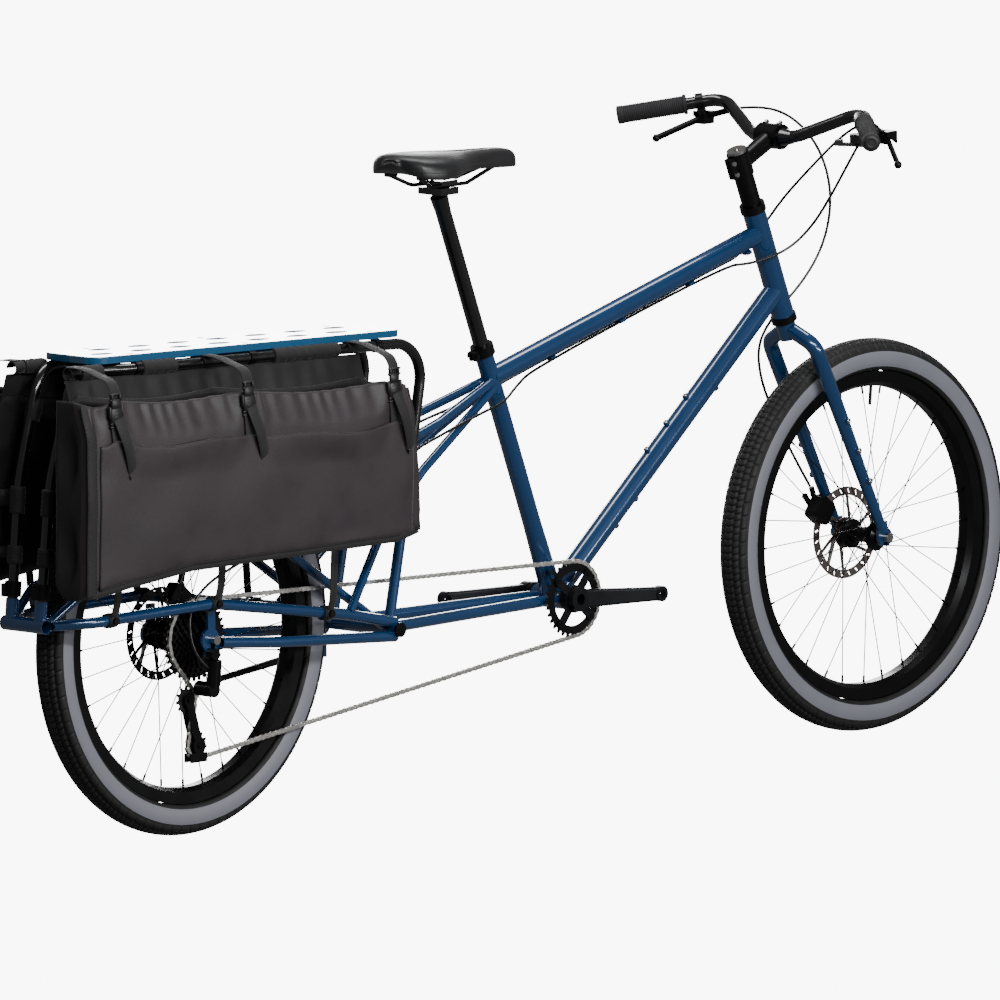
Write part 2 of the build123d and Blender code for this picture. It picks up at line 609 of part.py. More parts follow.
def cassette():
    """Nine cogs on the driver, with the lock ring outside the smallest."""
    used = CASSETTE.index(COG_TEETH)
    solids = []
    for i, teeth in enumerate(CASSETTE):
        y = COG_Y - (i - used) * COG_STEP
        cog = sprocket(0, AXLE_Z, y, teeth, 1.8, 17.1)
        if teeth > 23:
            radius = pitch_radius(teeth)
            for k in range(10):
                turn = 2 * pi * k / 10
                cog -= disc(radius * 0.66 * sin(turn), y - 3, y + 3, AXLE_Z + radius * 0.66 * cos(turn),
                            radius * 0.11)
        solids.append(cog)
    y_in, y_out = COG_Y + COG_STEP * used + 2, COG_Y - COG_STEP * (len(CASSETTE) - 1 - used) - 1.2
    solids.append(disc(0, y_in, y_out, AXLE_Z, 17, 5.1 + 4.5))
    solids.append(disc(0, y_out - 0.05, y_out - 1.8, AXLE_Z, 19, 9.6))
    return solids


def pulley(place):
    return sprocket(place[0], place[1], COG_Y, PULLEY_TEETH, 1.8, 2.6)


def chain_circuit():
    """Straight runs between the chain wheels: list of (leave point, arrive point), and each wheel's arc ends.

    The chain goes forward over the cog and the chainring, back to the lower pulley, then up around the
    front of the guide pulley.  Every wheel turns the same way except the guide pulley.
    """
    wheels = [((0.0, AXLE_Z), pitch_radius(COG_TEETH), 1, COG_Y),
              ((BOTTOM_X, BOTTOM_Z), pitch_radius(RING_TEETH), 1, RING_Y),
              (TENSION, pitch_radius(PULLEY_TEETH), 1, COG_Y),
              (GUIDE, pitch_radius(PULLEY_TEETH), -1, COG_Y)]
    runs = []
    for i, (centre, radius, turn, y) in enumerate(wheels):
        other, radius_b, turn_b, y_b = wheels[(i + 1) % len(wheels)]
        dx, dz = other[0] - centre[0], other[1] - centre[1]
        heading = atan2(dz, dx) - asin((turn * radius - turn_b * radius_b) / hypot(dx, dz))
        left = (-sin(heading), cos(heading))
        leave = (centre[0] + turn * radius * left[0], y, centre[1] + turn * radius * left[1])
        arrive = (other[0] + turn_b * radius_b * left[0], y_b, other[1] + turn_b * radius_b * left[1])
        runs.append((leave, arrive))
    return wheels, runs


def chain_arc(wheel, start, end):
    """Two curved side bars around a wheel, from start to end in the wheel's turning direction."""
    (x, z), radius, turn, y = wheel
    first = degrees(atan2(start[2] - z, start[0] - x))
    sweep_angle = (degrees(atan2(end[2] - z, end[0] - x)) - first) * -turn % 360
    bars = []
    for offset in (-2.3, 2.3):
        side_bar = [at(x + radius - 4.1, y + offset - 0.7, z), at(x + radius + 4.1, y + offset - 0.7, z),
                    at(x + radius + 4.1, y + offset + 0.7, z), at(x + radius - 4.1, y + offset + 0.7, z)]
        face = make_face(Polyline(side_bar, close=True)).rotate(Axis(at(x, 0, z), (0, 1, 0)), -first)
        bars.append(revolve(face, Axis(at(x, 0, z), (0, turn, 0)), sweep_angle))
    return bars


def chain():
    """One closed loop: side bars all round, and rollers on the straight runs clear of the teeth."""
    wheels, runs = chain_circuit()
    pieces = []
    for i, wheel in enumerate(wheels):
        pieces += chain_arc(wheel, runs[i - 1][1], runs[i][0])
    for leave, arrive in runs:
        a, b = at(*leave), at(*arrive)
        span = b - a
        run = Plane(origin=(a + b) * 0.5, x_dir=span, z_dir=Vector(0, 1, 0).cross(span).cross(span) * -1)
        for offset in (-2.3, 2.3):
            pieces.append(run * Pos(0, 0, offset) * Box(span.length, 8.2, 1.4))
        count = int((span.length - 62) // PITCH)
        for k in range(count + 1):
            pieces.append(run * Pos((k - count / 2) * PITCH, 0, 0) * Cylinder(3.9, 3.4))
    loop = pieces[0]
    for piece in pieces[1:]:
        loop += piece
    return loop


# ---- Derailleur ------------------------------------------------------------------------------
def derailleur():
    """Hanger knuckle, parallelogram, lower knuckle and the two cage plates with their pulley bolts."""
    solids = [disc(-8, -74.2, -90, 318, 10)]
    links = rod((-9, -84, 308), (-6, -76, 262), 9) + rod((2, -84, 306), (6, -76, 262), 7)
    knuckle = disc(-4, -43, -82, 256, 13)
    solids[0] += links + knuckle
    for y_in, y_out in ((-39.6, -41.6), (-27.2, -25.4)):
        outer = disc(GUIDE[0], y_in, y_out, GUIDE[1], 12) + disc(TENSION[0], y_in, y_out, TENSION[1], 15)
        middle = at((GUIDE[0] + TENSION[0]) / 2, (y_in + y_out) / 2, (GUIDE[1] + TENSION[1]) / 2)
        span = at(TENSION[0], 0, TENSION[1]) - at(GUIDE[0], 0, GUIDE[1])
        outer += Plane(origin=middle, x_dir=span, z_dir=(0, 1, 0)) * Box(span.length, 17, abs(y_out - y_in))
        outer += box(TENSION[0] - 2, (y_in + y_out) / 2, TENSION[1] - 20, 40, abs(y_out - y_in), 16)
        for place in (GUIDE, TENSION):
            outer -= disc(place[0], y_in - 3, y_out + 3, place[1], 2.55)
        solids.append(outer)
    solids[1] += disc(-4, -41.5, -43.1, 256, 11)
    for place in (GUIDE, TENSION):
        solids.append(disc(place[0], -24.4, -42.6, place[1], 2.5) + disc(place[0], -41.7, -44, place[1], 4.5))
    return solids


# ---- Disc brakes -----------------------------------------------------------------------------
def brake_place(x, turn):
    """Middle of a caliper, on the disc's rim at an angle from straight ahead."""
    return x + 72 * cos(radians(turn)), AXLE_Z + 72 * sin(radians(turn))


FRONT_BRAKE_TURN, REAR_BRAKE_TURN = 143.0, 52.0


def caliper(x, y, turn, outer_y):
    """A body that straddles the disc, open toward the axle."""
    cx, cz = brake_place(x, turn)
    out = (cos(radians(turn)), 0, sin(radians(turn)))
    middle = (y - 10 + outer_y) / 2
    place = Plane(origin=at(cx, middle, cz), x_dir=out, z_dir=(0, 1, 0))
    body = place * Pos(2, 0, 0) * Box(38, 42, outer_y - y + 10)
    body = fillet(body.edges().filter_by(Axis.Y), 8)
    slot = Plane(origin=at(cx, y, cz), x_dir=out, z_dir=(0, 1, 0)) * Pos(-9, 0, 0) * Box(39, 50, 4.8)
    return body - slot


def front_caliper():
    body = caliper(WHEELBASE, FRONT_ROTOR_Y, FRONT_BRAKE_TURN, 57)
    cx, cz = brake_place(WHEELBASE, FRONT_BRAKE_TURN)
    body += rod((cx - 2, 50, cz + 4), (cx - 16, 50, cz + 42), 5)
    for z, dx in ((-14, 24), (22, 12)):
        body += rod((cx, 50, cz + z), (cx + dx, 52, cz + z), 6)
    blade = rod((1524, 54, 692), (1690, 54, 357), 14, 9.5)
    body -= blade
    body -= disc(WHEELBASE, 40, 57, AXLE_Z, 17)
    return max(body.solids(), key=lambda s: s.volume)


def rear_caliper():
    body = caliper(0, REAR_ROTOR_Y, REAR_BRAKE_TURN, 66)
    cx, cz = brake_place(0, REAR_BRAKE_TURN)
    body += rod((cx + 4, 58, cz + 4), (cx + 22, 58, cz + 44), 5)
    body += rod((cx - 4, 60, cz - 12), (22, 64, 352), 5)
    body += rod((cx + 10, 60, cz - 12), (60, 72, 342), 5)
    body -= tube(flip(LOWER_STAY), RAIL_OD + 2 * GAP, 200)
    body -= rod((-4, 67.4, 340), (-4, 80, 340), 21.2) + box(14, 71, 335, 36.2, 7.2, 20.2)
    return max(body.solids(), key=lambda s: s.volume)


def brake_arm(x, turn, y, lean):
    """The arm that the cable pulls, turning on the caliper's outer face."""
    cx, cz = brake_place(x, turn)
    tip = (cx + 34 * sin(radians(lean)), y + 2.5, cz + 34 * cos(radians(lean)))
    arm = disc(cx, y, y + 5, cz, 11) + disc(tip[0], y, y + 5, tip[2], 5.5)
    span = at(*tip) - at(cx, y + 2.5, cz)
    arm += Plane(origin=at(*tip) - span * 0.5, x_dir=span, z_dir=(0, 1, 0)) * Box(span.length, 10, 4)
    return arm


# ---- Fork, headset and cockpit ---------------------------------------------------------------
BLADE = [(1511, -3, 720), (1524, -54, 692), (1552, -54, 635.5)]
BLADE_END = (1690, -54, 357)
FORK_BOSSES = (555.0, 500.0, 445.0)


def blade_x(z):
    """Middle of the fork blades at height z."""
    return 1524 + (692 - z) * (1690 - 1524) / (692 - 357)


def fork():
    """Steerer, crown, tapered blades, hooded dropouts and the threaded bosses outside the blades."""
    solid = rod(on_steer(-30), on_steer(322), STEERER_R) + rod(on_steer(-36), on_steer(-4.6), 17)
    for side in (-1, 1):
        bend = BLADE if side < 0 else flip(BLADE)
        foot = BLADE_END if side < 0 else flip([BLADE_END])[0]
        solid += tube(bend, 27, 30) + rod(bend[-1], foot, 13.5, 9)
        plate = disc(WHEELBASE, side * 50, side * 56, AXLE_Z, 17) + box(1692, side * 53, 356, 22, 6, 26)
        for z in FORK_BOSSES:
            x = blade_x(z)
            solid += rod((x, side * 58, z), (x, side * 70, z), 5.5)
        solid += plate
    solid -= rod(on_steer(-20), on_steer(330), 11.5)
    for side in (-1, 1):
        solid -= disc(WHEELBASE, side * 40, side * 62, AXLE_Z, 5.1)
        solid -= box(WHEELBASE, side * 53, AXLE_Z - 13, 10.2, 12, 26)
        solid -= disc(WHEELBASE, side * 56, side * 70, AXLE_Z, 17.5)
        solid -= disc(WHEELBASE, side * 35, side * 50, AXLE_Z, 30)
        for z in FORK_BOSSES:
            solid -= rod((blade_x(z), side * 60, z), (blade_x(z), side * 71, z), 2.1)
    return solid


def bearing_cups():
    """Headset cups on the head tube and bottom bracket cups on their shell."""
    cups = [sleeve(on_steer(-4), on_steer(7.9), 22.5, STEERER_R + 0.08),
            sleeve(on_steer(HEAD_LENGTH + 8.1), on_steer(HEAD_LENGTH + 22), 22.5, STEERER_R + 0.08)]
    for side in (-1, 1):
        cups.append(disc(BOTTOM_X, side * 36.6, side * 46.5, BOTTOM_Z, 22, 12.06))
    return cups


BAR = [(1410, -297, 1075), (1530, -160, 1104), (1480, -50, 1057), (1478, 0, 1056)]
BAR_CENTRE = BAR[-1]


def on_grip(side, t):
    """A place on a grip's straight, t from the bar's outer corner toward its end."""
    corner, end = Vector(*BAR[1]), Vector(*BAR[0])
    spot = corner + (end - corner).normalized() * t
    return (spot.X, -side * spot.Y, spot.Z)


GRIP_END = (Vector(*BAR[0]) - Vector(*BAR[1])).length


def faceplate_bolts():
    """Places of the faceplate bolts, each looking forward along the stem."""
    reach = (at(*BAR_CENTRE) - at(*on_steer(300))).normalized()
    rise = reach.cross(Vector(0, 1, 0))
    places = []
    for y in (-16, 16):
        for lift in (-19.5, 19.5):
            places.append(Plane(origin=at(*BAR_CENTRE) + rise * lift + Vector(0, y, 0) + reach * 12, z_dir=reach))
    return places


def stem():
    """Spacers, the quill-less stem and its faceplate."""
    spacers = [sleeve(on_steer(s + 0.2), on_steer(s + 19), 17.2, STEERER_R + 0.06) for s in (222.1, 241.2, 260.3)]
    body = rod(on_steer(279.6), on_steer(321), 19.5) + rod(on_steer(300), BAR_CENTRE, 15, 16)
    body += disc(BAR_CENTRE[0], -24, 24, BAR_CENTRE[2], 22)
    body += Plane(origin=at(*on_steer(300, -21)), z_dir=at(*on_steer(1)) - at(*on_steer(0))) * Box(12, 16, 38)
    body -= rod(on_steer(270), on_steer(330), STEERER_R + 0.06)
    body -= disc(BAR_CENTRE[0], -30, 30, BAR_CENTRE[2], BAR_CLAMP_OD / 2 + 0.05)
    reach = at(*BAR_CENTRE) - at(*on_steer(300))
    split = Plane(origin=at(*BAR_CENTRE), x_dir=(0, 1, 0), z_dir=reach) * Box(60, 60, 1.5)
    body -= Plane(origin=at(*on_steer(300, -24)), z_dir=at(*on_steer(1)) - at(*on_steer(0))) * Box(30, 1.6, 60)
    for place in faceplate_bolts():
        body -= place * Cylinder(4.1, 9.2)
    return spacers + (body - split).solids()


def stem_bolts():
    """Four faceplate bolts, two steerer clamp bolts and the top cap."""
    solids = [place * Cylinder(4, 9) for place in faceplate_bolts()]
    for s in (290, 311):
        solids.append(rod(on_steer(s, -23, -8.1), on_steer(s, -23, -12), 4))
    solids.append(rod(on_steer(322.1), on_steer(327), 17.5) + rod(on_steer(326), on_steer(329), 5))
    return solids


def handlebar():
    """A swept riser bar, thicker where the stem clamps it."""
    left = flip(BAR)[::-1]
    bar = tube(BAR[:-1] + left[1:], BAR_OD, [40, 60, 60, 40])
    x, z = BAR_CENTRE[0], BAR_CENTRE[2]
    bar += disc(x, -27, 27, z, BAR_CLAMP_OD / 2)
    for side in (-1, 1):
        bar += rod((x, side * 27, z), (x + 1.8, side * 47, z + 0.8), BAR_CLAMP_OD / 2, BAR_OD / 2)
    hollow = tube(BAR[:-1] + left[1:], BAR_OD - 4.4, [40, 60, 60, 40])
    return bar - hollow


def grips():
    solids = []
    for side in (-1, 1):
        start, end, cap = on_grip(side, GRIP_END - GRIP_LENGTH), on_grip(side, GRIP_END + 0.1), on_grip(side, GRIP_END + 4)
        grip = sleeve(start, end, 16, BAR_OD / 2 + 0.05) + rod(end, cap, 16)
        grip += sleeve(start, on_grip(side, GRIP_END - GRIP_LENGTH + 6), 17.5, BAR_OD / 2 + 0.05)
        solids.append(grip)
    return solids


PIVOT, LEVER_TIP = (1536, -216, 1066), (1490, -285, 1028)
LEVER_CLAMP, SHIFTER_CLAMP = 44.0, 57.0


def mirror_place(side, place):
    return place if side < 0 else (place[0], -place[1], place[2])


def lever_axis(side):
    """Unit axis about which a positive turn pulls the brake lever toward the grip."""
    pivot, tip = at(*mirror_place(side, PIVOT)), at(*mirror_place(side, LEVER_TIP))
    blade = (tip - pivot).normalized()
    grip = (at(*on_grip(side, 120)) - (tip + pivot) * 0.5).normalized()
    return blade.cross(grip).normalized()


def bar_clamp(side, t, width):
    """A clamp band before it is bored for the bar."""
    return rod(on_grip(side, t - width / 2), on_grip(side, t + width / 2), 15.5)


def brake_lever_mounts():
    """Clamp, body and cable adjuster of each brake lever; the body is forked around the blade's pivot."""
    solids = []
    for side in (-1, 1):
        pivot = mirror_place(side, PIVOT)
        axis = lever_axis(side)
        body = bar_clamp(side, LEVER_CLAMP, 13) + rod(on_grip(side, LEVER_CLAMP), pivot, 7.5)
        body += box(*pivot, 26, 26, 22)
        adjuster = mirror_place(side, (1553, -160, 1083))
        reach = at(*adjuster) - at(*pivot)
        body += Plane(origin=at(*pivot) + reach * 0.5, z_dir=reach) * Cylinder(5.5, reach.length)
        body -= rod(on_grip(side, 20), on_grip(side, 80), BAR_OD / 2 + 0.05)
        swing = at(*mirror_place(side, LEVER_TIP)) - at(*pivot)
        slot = Plane(origin=at(*pivot), x_dir=swing, z_dir=axis) * Pos(10, 0, 0) * Box(48, 46, 9.6)
        pin = Plane(origin=at(*pivot), z_dir=axis) * Cylinder(2.9, 15)
        solids.append(max((body - slot + pin).solids(), key=lambda s: s.volume))
    return solids


def brake_lever(side):
    """The blade, curved to its ball end, on the pivot pin."""
    pivot, tip = at(*mirror_place(side, PIVOT)), at(*mirror_place(side, LEVER_TIP))
    axis = lever_axis(side)
    span = tip - pivot
    face = Plane(origin=pivot, x_dir=span, z_dir=axis)
    blade = face * (Cylinder(8, 8.4) + Pos(span.length / 2, 0, 0) * Box(span.length, 10, 6))
    blade += face * Pos(span.length, 0, 0) * Sphere(7)
    return blade - face * Cylinder(2.98, 20)


def shifter():
    """Clamp and the flat body under the right grip, with the lever's pivot stud."""
    body = bar_clamp(-1, SHIFTER_CLAMP, 9)
    spot = at(*on_grip(-1, SHIFTER_CLAMP)) + Vector(-8, 0, -27)
    body += Plane(origin=spot, z_dir=(0, 0, 1)) * Cylinder(19, 14)
    body += Plane(origin=spot + Vector(5, -3, 13), z_dir=(0, 0, 1)) * Cylinder(7, 16)
    body -= rod(on_grip(-1, 20), on_grip(-1, 80), BAR_OD / 2 + 0.05)
    body += Plane(origin=spot - Vector(0, 0, 9), z_dir=(0, 0, 1)) * Cylinder(4, 8)
    return body - rod(on_grip(-1, GRIP_END - GRIP_LENGTH - 0.2), on_grip(-1, 160), 18)


def shifter_pivot():
    return at(*on_grip(-1, SHIFTER_CLAMP)) + Vector(-8, 0, -38.2)


def shift_lever():
    """Thumb paddle that turns on a stud under the shifter."""
    spot = shifter_pivot()
    hub_part = Plane(origin=spot, z_dir=(0, 0, 1)) * Cylinder(10, 7.4)
    arm = Plane(origin=spot, x_dir=(-0.55, 0.83, 0), z_dir=(0, 0, 1)) * Pos(20, 0, 0) * Box(36, 12, 6)
    pad = Plane(origin=spot, x_dir=(-0.55, 0.83, 0), z_dir=(0, 0, 1)) * Pos(38, 0, 3) * Box(12, 20, 10)
    return hub_part + arm + pad - Plane(origin=spot, z_dir=(0, 0, 1)) * Cylinder(4.06, 20)


# ---- Saddle ----------------------------------------------------------------------------------
RAIL_PATH = [(562, -38, 1074), (600, -22, 1054), (690, -22, 1053), (786, -9, 1078)]


def saddle_rails():
    rails = [tube(RAIL_PATH, 7, 30), tube(flip(RAIL_PATH), 7, 30)]
    return rails


def seatpost():
    """The post, its head and the two-bolt clamp around the saddle rails."""
    tip = on_seat(POST_TOP)
    post = sleeve(on_seat(POST_TOP - POST_LENGTH), on_seat(POST_TOP - 12), POST_OD / 2, 11.5)
    post += rod(on_seat(POST_TOP - 30), tip, POST_OD / 2, 16) + box(tip[0] - 1, 0, 1043, 44, 54, 12)
    clamp = box(tip[0] - 1, 0, 1058, 40, 54, 8)
    bolts = [Pos(at(tip[0] - 1 + dx, 0, 1055)) * Cylinder(3, 20) for dx in (-15, 15)]
    head = post + clamp + box(tip[0] - 1, 0, 1051.5, 30, 22, 8) + bolts
    for run in (RAIL_PATH, flip(RAIL_PATH)):
        head -= tube(run, 7 + 2 * GAP, 30)
    return head


def saddle():
    """A short nosed saddle, wide at the back."""
    stations = ((534, 96, 26, 1097), (556, 142, 38, 1095), (600, 146, 42, 1092), (660, 100, 42, 1089),
                (720, 58, 40, 1088), (790, 44, 34, 1087), (826, 34, 22, 1085))
    sections = []
    for x, wide, high, z in stations:
        place = Plane(origin=at(x, 0, z), x_dir=(0, 1, 0), z_dir=(1, 0, 0))
        sections.append(place * RectangleRounded(wide, high, min(wide, high) * 0.42))
    pad = loft(sections)
    under = box(675, 0, 1071, 250, 160, 20)
    pad -= under
    for run in (RAIL_PATH, flip(RAIL_PATH)):
        pad -= tube(run, 7.4, 30)
    return max(pad.solids(), key=lambda s: s.volume)


def seat_collar():
    """Binder collar on the seat tube, with its bolt behind."""
    low, high = on_seat(SEAT_LENGTH - 16), on_seat(SEAT_LENGTH + 2)
    collar = sleeve(low, high, 20.5, SEAT_OD / 2 + GAP)
    ears = Plane(origin=at(*on_seat(SEAT_LENGTH - 7, -23)), z_dir=at(*on_seat(1)) - at(*on_seat(0))) * Box(12, 16, 16)
    ears += rod(on_seat(SEAT_LENGTH - 7, -24, -12), on_seat(SEAT_LENGTH - 7, -24, 12), 4)
    core = rod(on_seat(SEAT_LENGTH - 30), on_seat(SEAT_LENGTH + 20), SEAT_OD / 2 + GAP)
    slot = Plane(origin=at(*on_seat(SEAT_LENGTH - 7, -24)), z_dir=at(*on_seat(1)) - at(*on_seat(0))) * Box(16, 2, 30)
    lip = sleeve(on_seat(SEAT_LENGTH + 0.1), on_seat(SEAT_LENGTH + 2), 17, SEAT_ID / 2 + 0.1)
    return collar + (ears - core) + lip - slot


def kickstand():
    """Folded leg with its eye on the pivot pin and a rubber foot."""
    leg = rod((STAND_X, 95, STAND_Z), (STAND_X - 250, 95, STAND_Z - 27), 7, 5.5)
    leg += rod((STAND_X - 236, 95, STAND_Z - 25.5), (STAND_X - 258, 95, STAND_Z - 28), 8)
    leg += disc(STAND_X, 87.4, 102, STAND_Z, 12)
    return leg - disc(STAND_X, 80, 110, STAND_Z, STAND_PIN_R + 0.08)


# ---- Small fasteners -------------------------------------------------------------------------
def frame_bolts():
    """Deck bolts with their rail clips, and the bolt heads of the collars, cuffs and bag loops."""
    solids = []
    for along in DECK_BOLTS:
        x = DECK_X + along * cos(radians(DECK_TILT))
        for side in (-1, 1):
            rail_a, rail_b = (x - 7, side * RACK_Y, rail_z(x - 7)), (x + 7, side * RACK_Y, rail_z(x + 7))
            clip = deck_plane() * (Pos(along, side * 55, -1.15) * Box(14, 20, 1.9)
                                   + Pos(along, side * 52, (DECK_THICK - 4) / 2) * Cylinder(2.5, DECK_THICK)
                                   + Pos(along, side * 52, DECK_THICK - 1.4) * Cylinder(5, 2.6))
            clip += rod(rail_a, rail_b, RAIL_OD / 2 + 1.9)
            solids.append(max((clip - hoop_room(side)).solids(), key=lambda s: s.volume))
    for side in (-1, 1):
        for z in (452, 464):
            solids.append(disc(-393, side * 28.4, side * 25.6, z, 2.6))
        for x, z in BAG_TIES:
            solids.append(disc(x, side * 98.1, side * 101.5, z, 6.5))
    return solids


# ---- Cables ----------------------------------------------------------------------------------
TOP_LEAN = (at(*TOP_B) - at(*TOP_A)).normalized()


def below_top_tube(s, y):
    """A place in the cable guides under the top tube, s forward from the seat tube."""
    drop = TOP_OD / 2 + GAP + 3.8
    return (TOP_A[0] + TOP_LEAN.X * s + TOP_LEAN.Z * drop, y, TOP_A[2] + TOP_LEAN.Z * s - TOP_LEAN.X * drop)


FRONT_BRAKE_ROUTE = [(1553.6, 159, 1083.5), (1572, 118, 1090), (1592, 66, 1078), (1614, 26, 1034), (1634, 12, 972),
                     (1638, 12, 906), (1622, 20, 842), (1586, 34, 786), (1545, 58, 738), (1519, 76, 686),
                     (1524, 76, 628), (1551, 74, 568), (1580, 68, 510), (1604, 58, 462), (1621, 50, 428.5)]
REAR_BRAKE_ROUTE = [(1553.6, -159, 1083.5), (1556, -128, 1078), (1546, -88, 1048), (1528, -44, 1000),
                    (1510, 2, 948), (1488, 28, 900), (1448, 32, 866), (1402, 18, 850),
                    below_top_tube(600, GUIDE_Y), below_top_tube(100, GUIDE_Y), (812, 20, 690), (768, 34, 668),
                    (700, 40, 655), (600, 47, 631), (450, 57, 592), (300, 66, 551), (180, 75, 502),
                    (110, 72, 464), (72, 60, 444)]
SHIFT_ROUTE = [(1502, -190, 1068), (1513, -181, 1065), (1526, -158, 1048), (1530, -128, 1010), (1521, -98, 956),
               (1506, -70, 905), (1478, -46, 868), (1440, -32, 852), (1396, -18, 843),
               below_top_tube(600, -GUIDE_Y), below_top_tube(100, -GUIDE_Y), (812, -20, 690), (768, -34, 668),
               (700, -40, 655), (600, -47, 631), (450, -57, 592), (300, -66, 551), (180, -75, 502),
               (60, -74, 464), (-14, -70, 436), (-50, -68, 396), (-56, -74, 350), (-44, -82, 312), (-24, -86, 296)]


def cable(route):
    return tube(route, CABLE_OD)


# ---- Nodes -----------------------------------------------------------------------------------
def nodes():
    """Every node by name."""
    parts = {}
    parts["head_tube"] = head_tube()
    parts["top_tube"] = main_tube(TOP_A, TOP_B, TOP_OD, 1.4)
    parts["down_tube"] = main_tube(DOWN_A, DOWN_B, DOWN_OD, 1.4)
    parts["seat_tube"] = seat_tube()
    parts["chain_stays"] = group(rear_tube(MAIN_STAY, 20, 1.6, 120))
    side_rails = rear_tube(SIDE_RAIL, RAIL_OD, 1.6)
    steep = cut_by(rear_tube(STEEP_STAY, STAY_OD, 1.4), SIDE_RAIL, RAIL_OD)
    upper = cut_by(rear_tube(SEAT_STAY, STAY_OD, 1.4), SIDE_RAIL, RAIL_OD)
    upper = cut_by(upper, STEEP_STAY, STAY_OD)
    braces = cut_by(rear_tube(BRACE, STAY_OD, 1.4), SEAT_STAY, STAY_OD)
    parts["side_rails"] = group(side_rails)
    parts["lower_stays"] = group(lower_stays())
    parts["seat_stays"] = group(upper, steep)
    parts["cross_tubes"] = group(cross_tubes())
    parts["frame_fittings"] = group(frame_fittings(), braces)
    parts["rack_hoops"] = group(rack_hoops())
    parts["rack_collars"] = group(rack_collars())
    parts["bag_mounts"] = group(bag_mounts())
    parts["deck"] = deck()
    parts["frame_bolts"] = group(frame_bolts())
    parts["right_bag"] = bag(-1)
    parts["left_bag"] = bag(1)
    parts["bag_straps"] = group(bag_straps())
    parts["bearing_cups"] = group(bearing_cups())
    parts["rear_caliper"] = rear_caliper()
    parts["rear_caliper_arm"] = brake_arm(0, REAR_BRAKE_TURN, 66.3, 60)
    parts["derailleur"] = group(derailleur())
    parts["guide_pulley"] = pulley(GUIDE)
    parts["tension_pulley"] = pulley(TENSION)
    parts["chain"] = chain()
    parts["rear_axle"] = axle(0, 67.5, 6.8)
    parts["kickstand"] = kickstand()
    parts["seatpost"] = seatpost()
    parts["saddle_rails"] = group(saddle_rails())
    parts["saddle"] = saddle()
    parts["fork"] = fork()
    parts["stem"] = group(stem())
    parts["stem_bolts"] = group(stem_bolts())
    parts["handlebar"] = handlebar()
    parts["grips"] = group(grips())
    parts["brake_lever_mounts"] = group(brake_lever_mounts())
    parts["left_brake_lever"] = brake_lever(1)
    parts["right_brake_lever"] = brake_lever(-1)
    parts["shifter"] = shifter()
    parts["shift_lever"] = shift_lever()
    parts["front_caliper"] = front_caliper()
    parts["front_caliper_arm"] = brake_arm(WHEELBASE, FRONT_BRAKE_TURN, 57.3, -40)
    parts["front_axle"] = axle(WHEELBASE, 50, 6.3)
    for name, x, hub_size in (("front", WHEELBASE, (44.6, -44.6, 24, -33, 22, 5.08)),
                              ("rear", 0.0, (62.1, -24.6, 33, -17, 25, 5.08))):
        y_left, y_right, flange_left, flange_right, flange_r, bore = hub_size
        parts[f"{name}_tyre"] = tyre(x)
        parts[f"{name}_rim"] = rim(x)
        parts[f"{name}_spokes"] = group(spokes(x, flange_left, flange_right, flange_r))
        parts[f"{name}_hub"] = hub(x, *hub_size)
        parts[f"{name}_rotor"] = rotor(x, FRONT_ROTOR_Y if x else REAR_ROTOR_Y)
    parts["chainring"] = chainring()
    parts["right_crank"] = right_crank()
    parts["left_crank"] = left_crank()
    parts["cassette"] = group(cassette())
    parts["front_brake_cable"] = cable(FRONT_BRAKE_ROUTE)
    parts["rear_brake_cable"] = cable(REAR_BRAKE_ROUTE)
    parts["shift_cable"] = cable(SHIFT_ROUTE)
    return parts


os.makedirs("parts", exist_ok=True)
for node_name, node_shape in nodes().items():
    export_step(node_shape, f"parts/{node_name}.step")
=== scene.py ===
import json
import math

import bpy
import numpy as np
from mathutils import Matrix, Vector


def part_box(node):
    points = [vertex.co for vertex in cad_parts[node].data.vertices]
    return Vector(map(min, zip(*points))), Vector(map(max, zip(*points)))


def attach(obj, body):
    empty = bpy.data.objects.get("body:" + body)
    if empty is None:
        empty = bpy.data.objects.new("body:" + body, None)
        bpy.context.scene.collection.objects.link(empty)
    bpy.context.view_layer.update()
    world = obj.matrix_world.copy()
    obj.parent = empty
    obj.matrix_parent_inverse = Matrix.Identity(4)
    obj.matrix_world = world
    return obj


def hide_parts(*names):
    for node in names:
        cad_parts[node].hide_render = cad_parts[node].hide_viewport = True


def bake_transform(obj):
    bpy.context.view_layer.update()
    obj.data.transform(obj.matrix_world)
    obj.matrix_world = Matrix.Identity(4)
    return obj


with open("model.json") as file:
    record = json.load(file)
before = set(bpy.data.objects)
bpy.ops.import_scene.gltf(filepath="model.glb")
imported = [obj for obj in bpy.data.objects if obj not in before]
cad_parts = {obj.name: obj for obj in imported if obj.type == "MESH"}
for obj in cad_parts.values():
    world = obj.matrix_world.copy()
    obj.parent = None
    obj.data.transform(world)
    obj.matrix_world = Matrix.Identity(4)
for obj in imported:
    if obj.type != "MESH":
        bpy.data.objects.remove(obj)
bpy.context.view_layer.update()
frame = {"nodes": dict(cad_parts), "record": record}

# ---- Places ------------------------------------------------------------------------------------
# Millimetres are counted from the rear axle: x forward, y to the rider's left, z above the ground.
tyre_low, tyre_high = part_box("rear_tyre")
REAR_AXLE_X = (tyre_low[0] + tyre_high[0]) / 2
WHEELBASE = 1698.0
AXLE_Z = 341.0
MM = 0.001


def here(points):
    """Places in millimetres from the rear axle become metres in the model's own frame."""
    return np.asarray(points, float) * MM + np.array([REAR_AXLE_X, 0.0, 0.0])


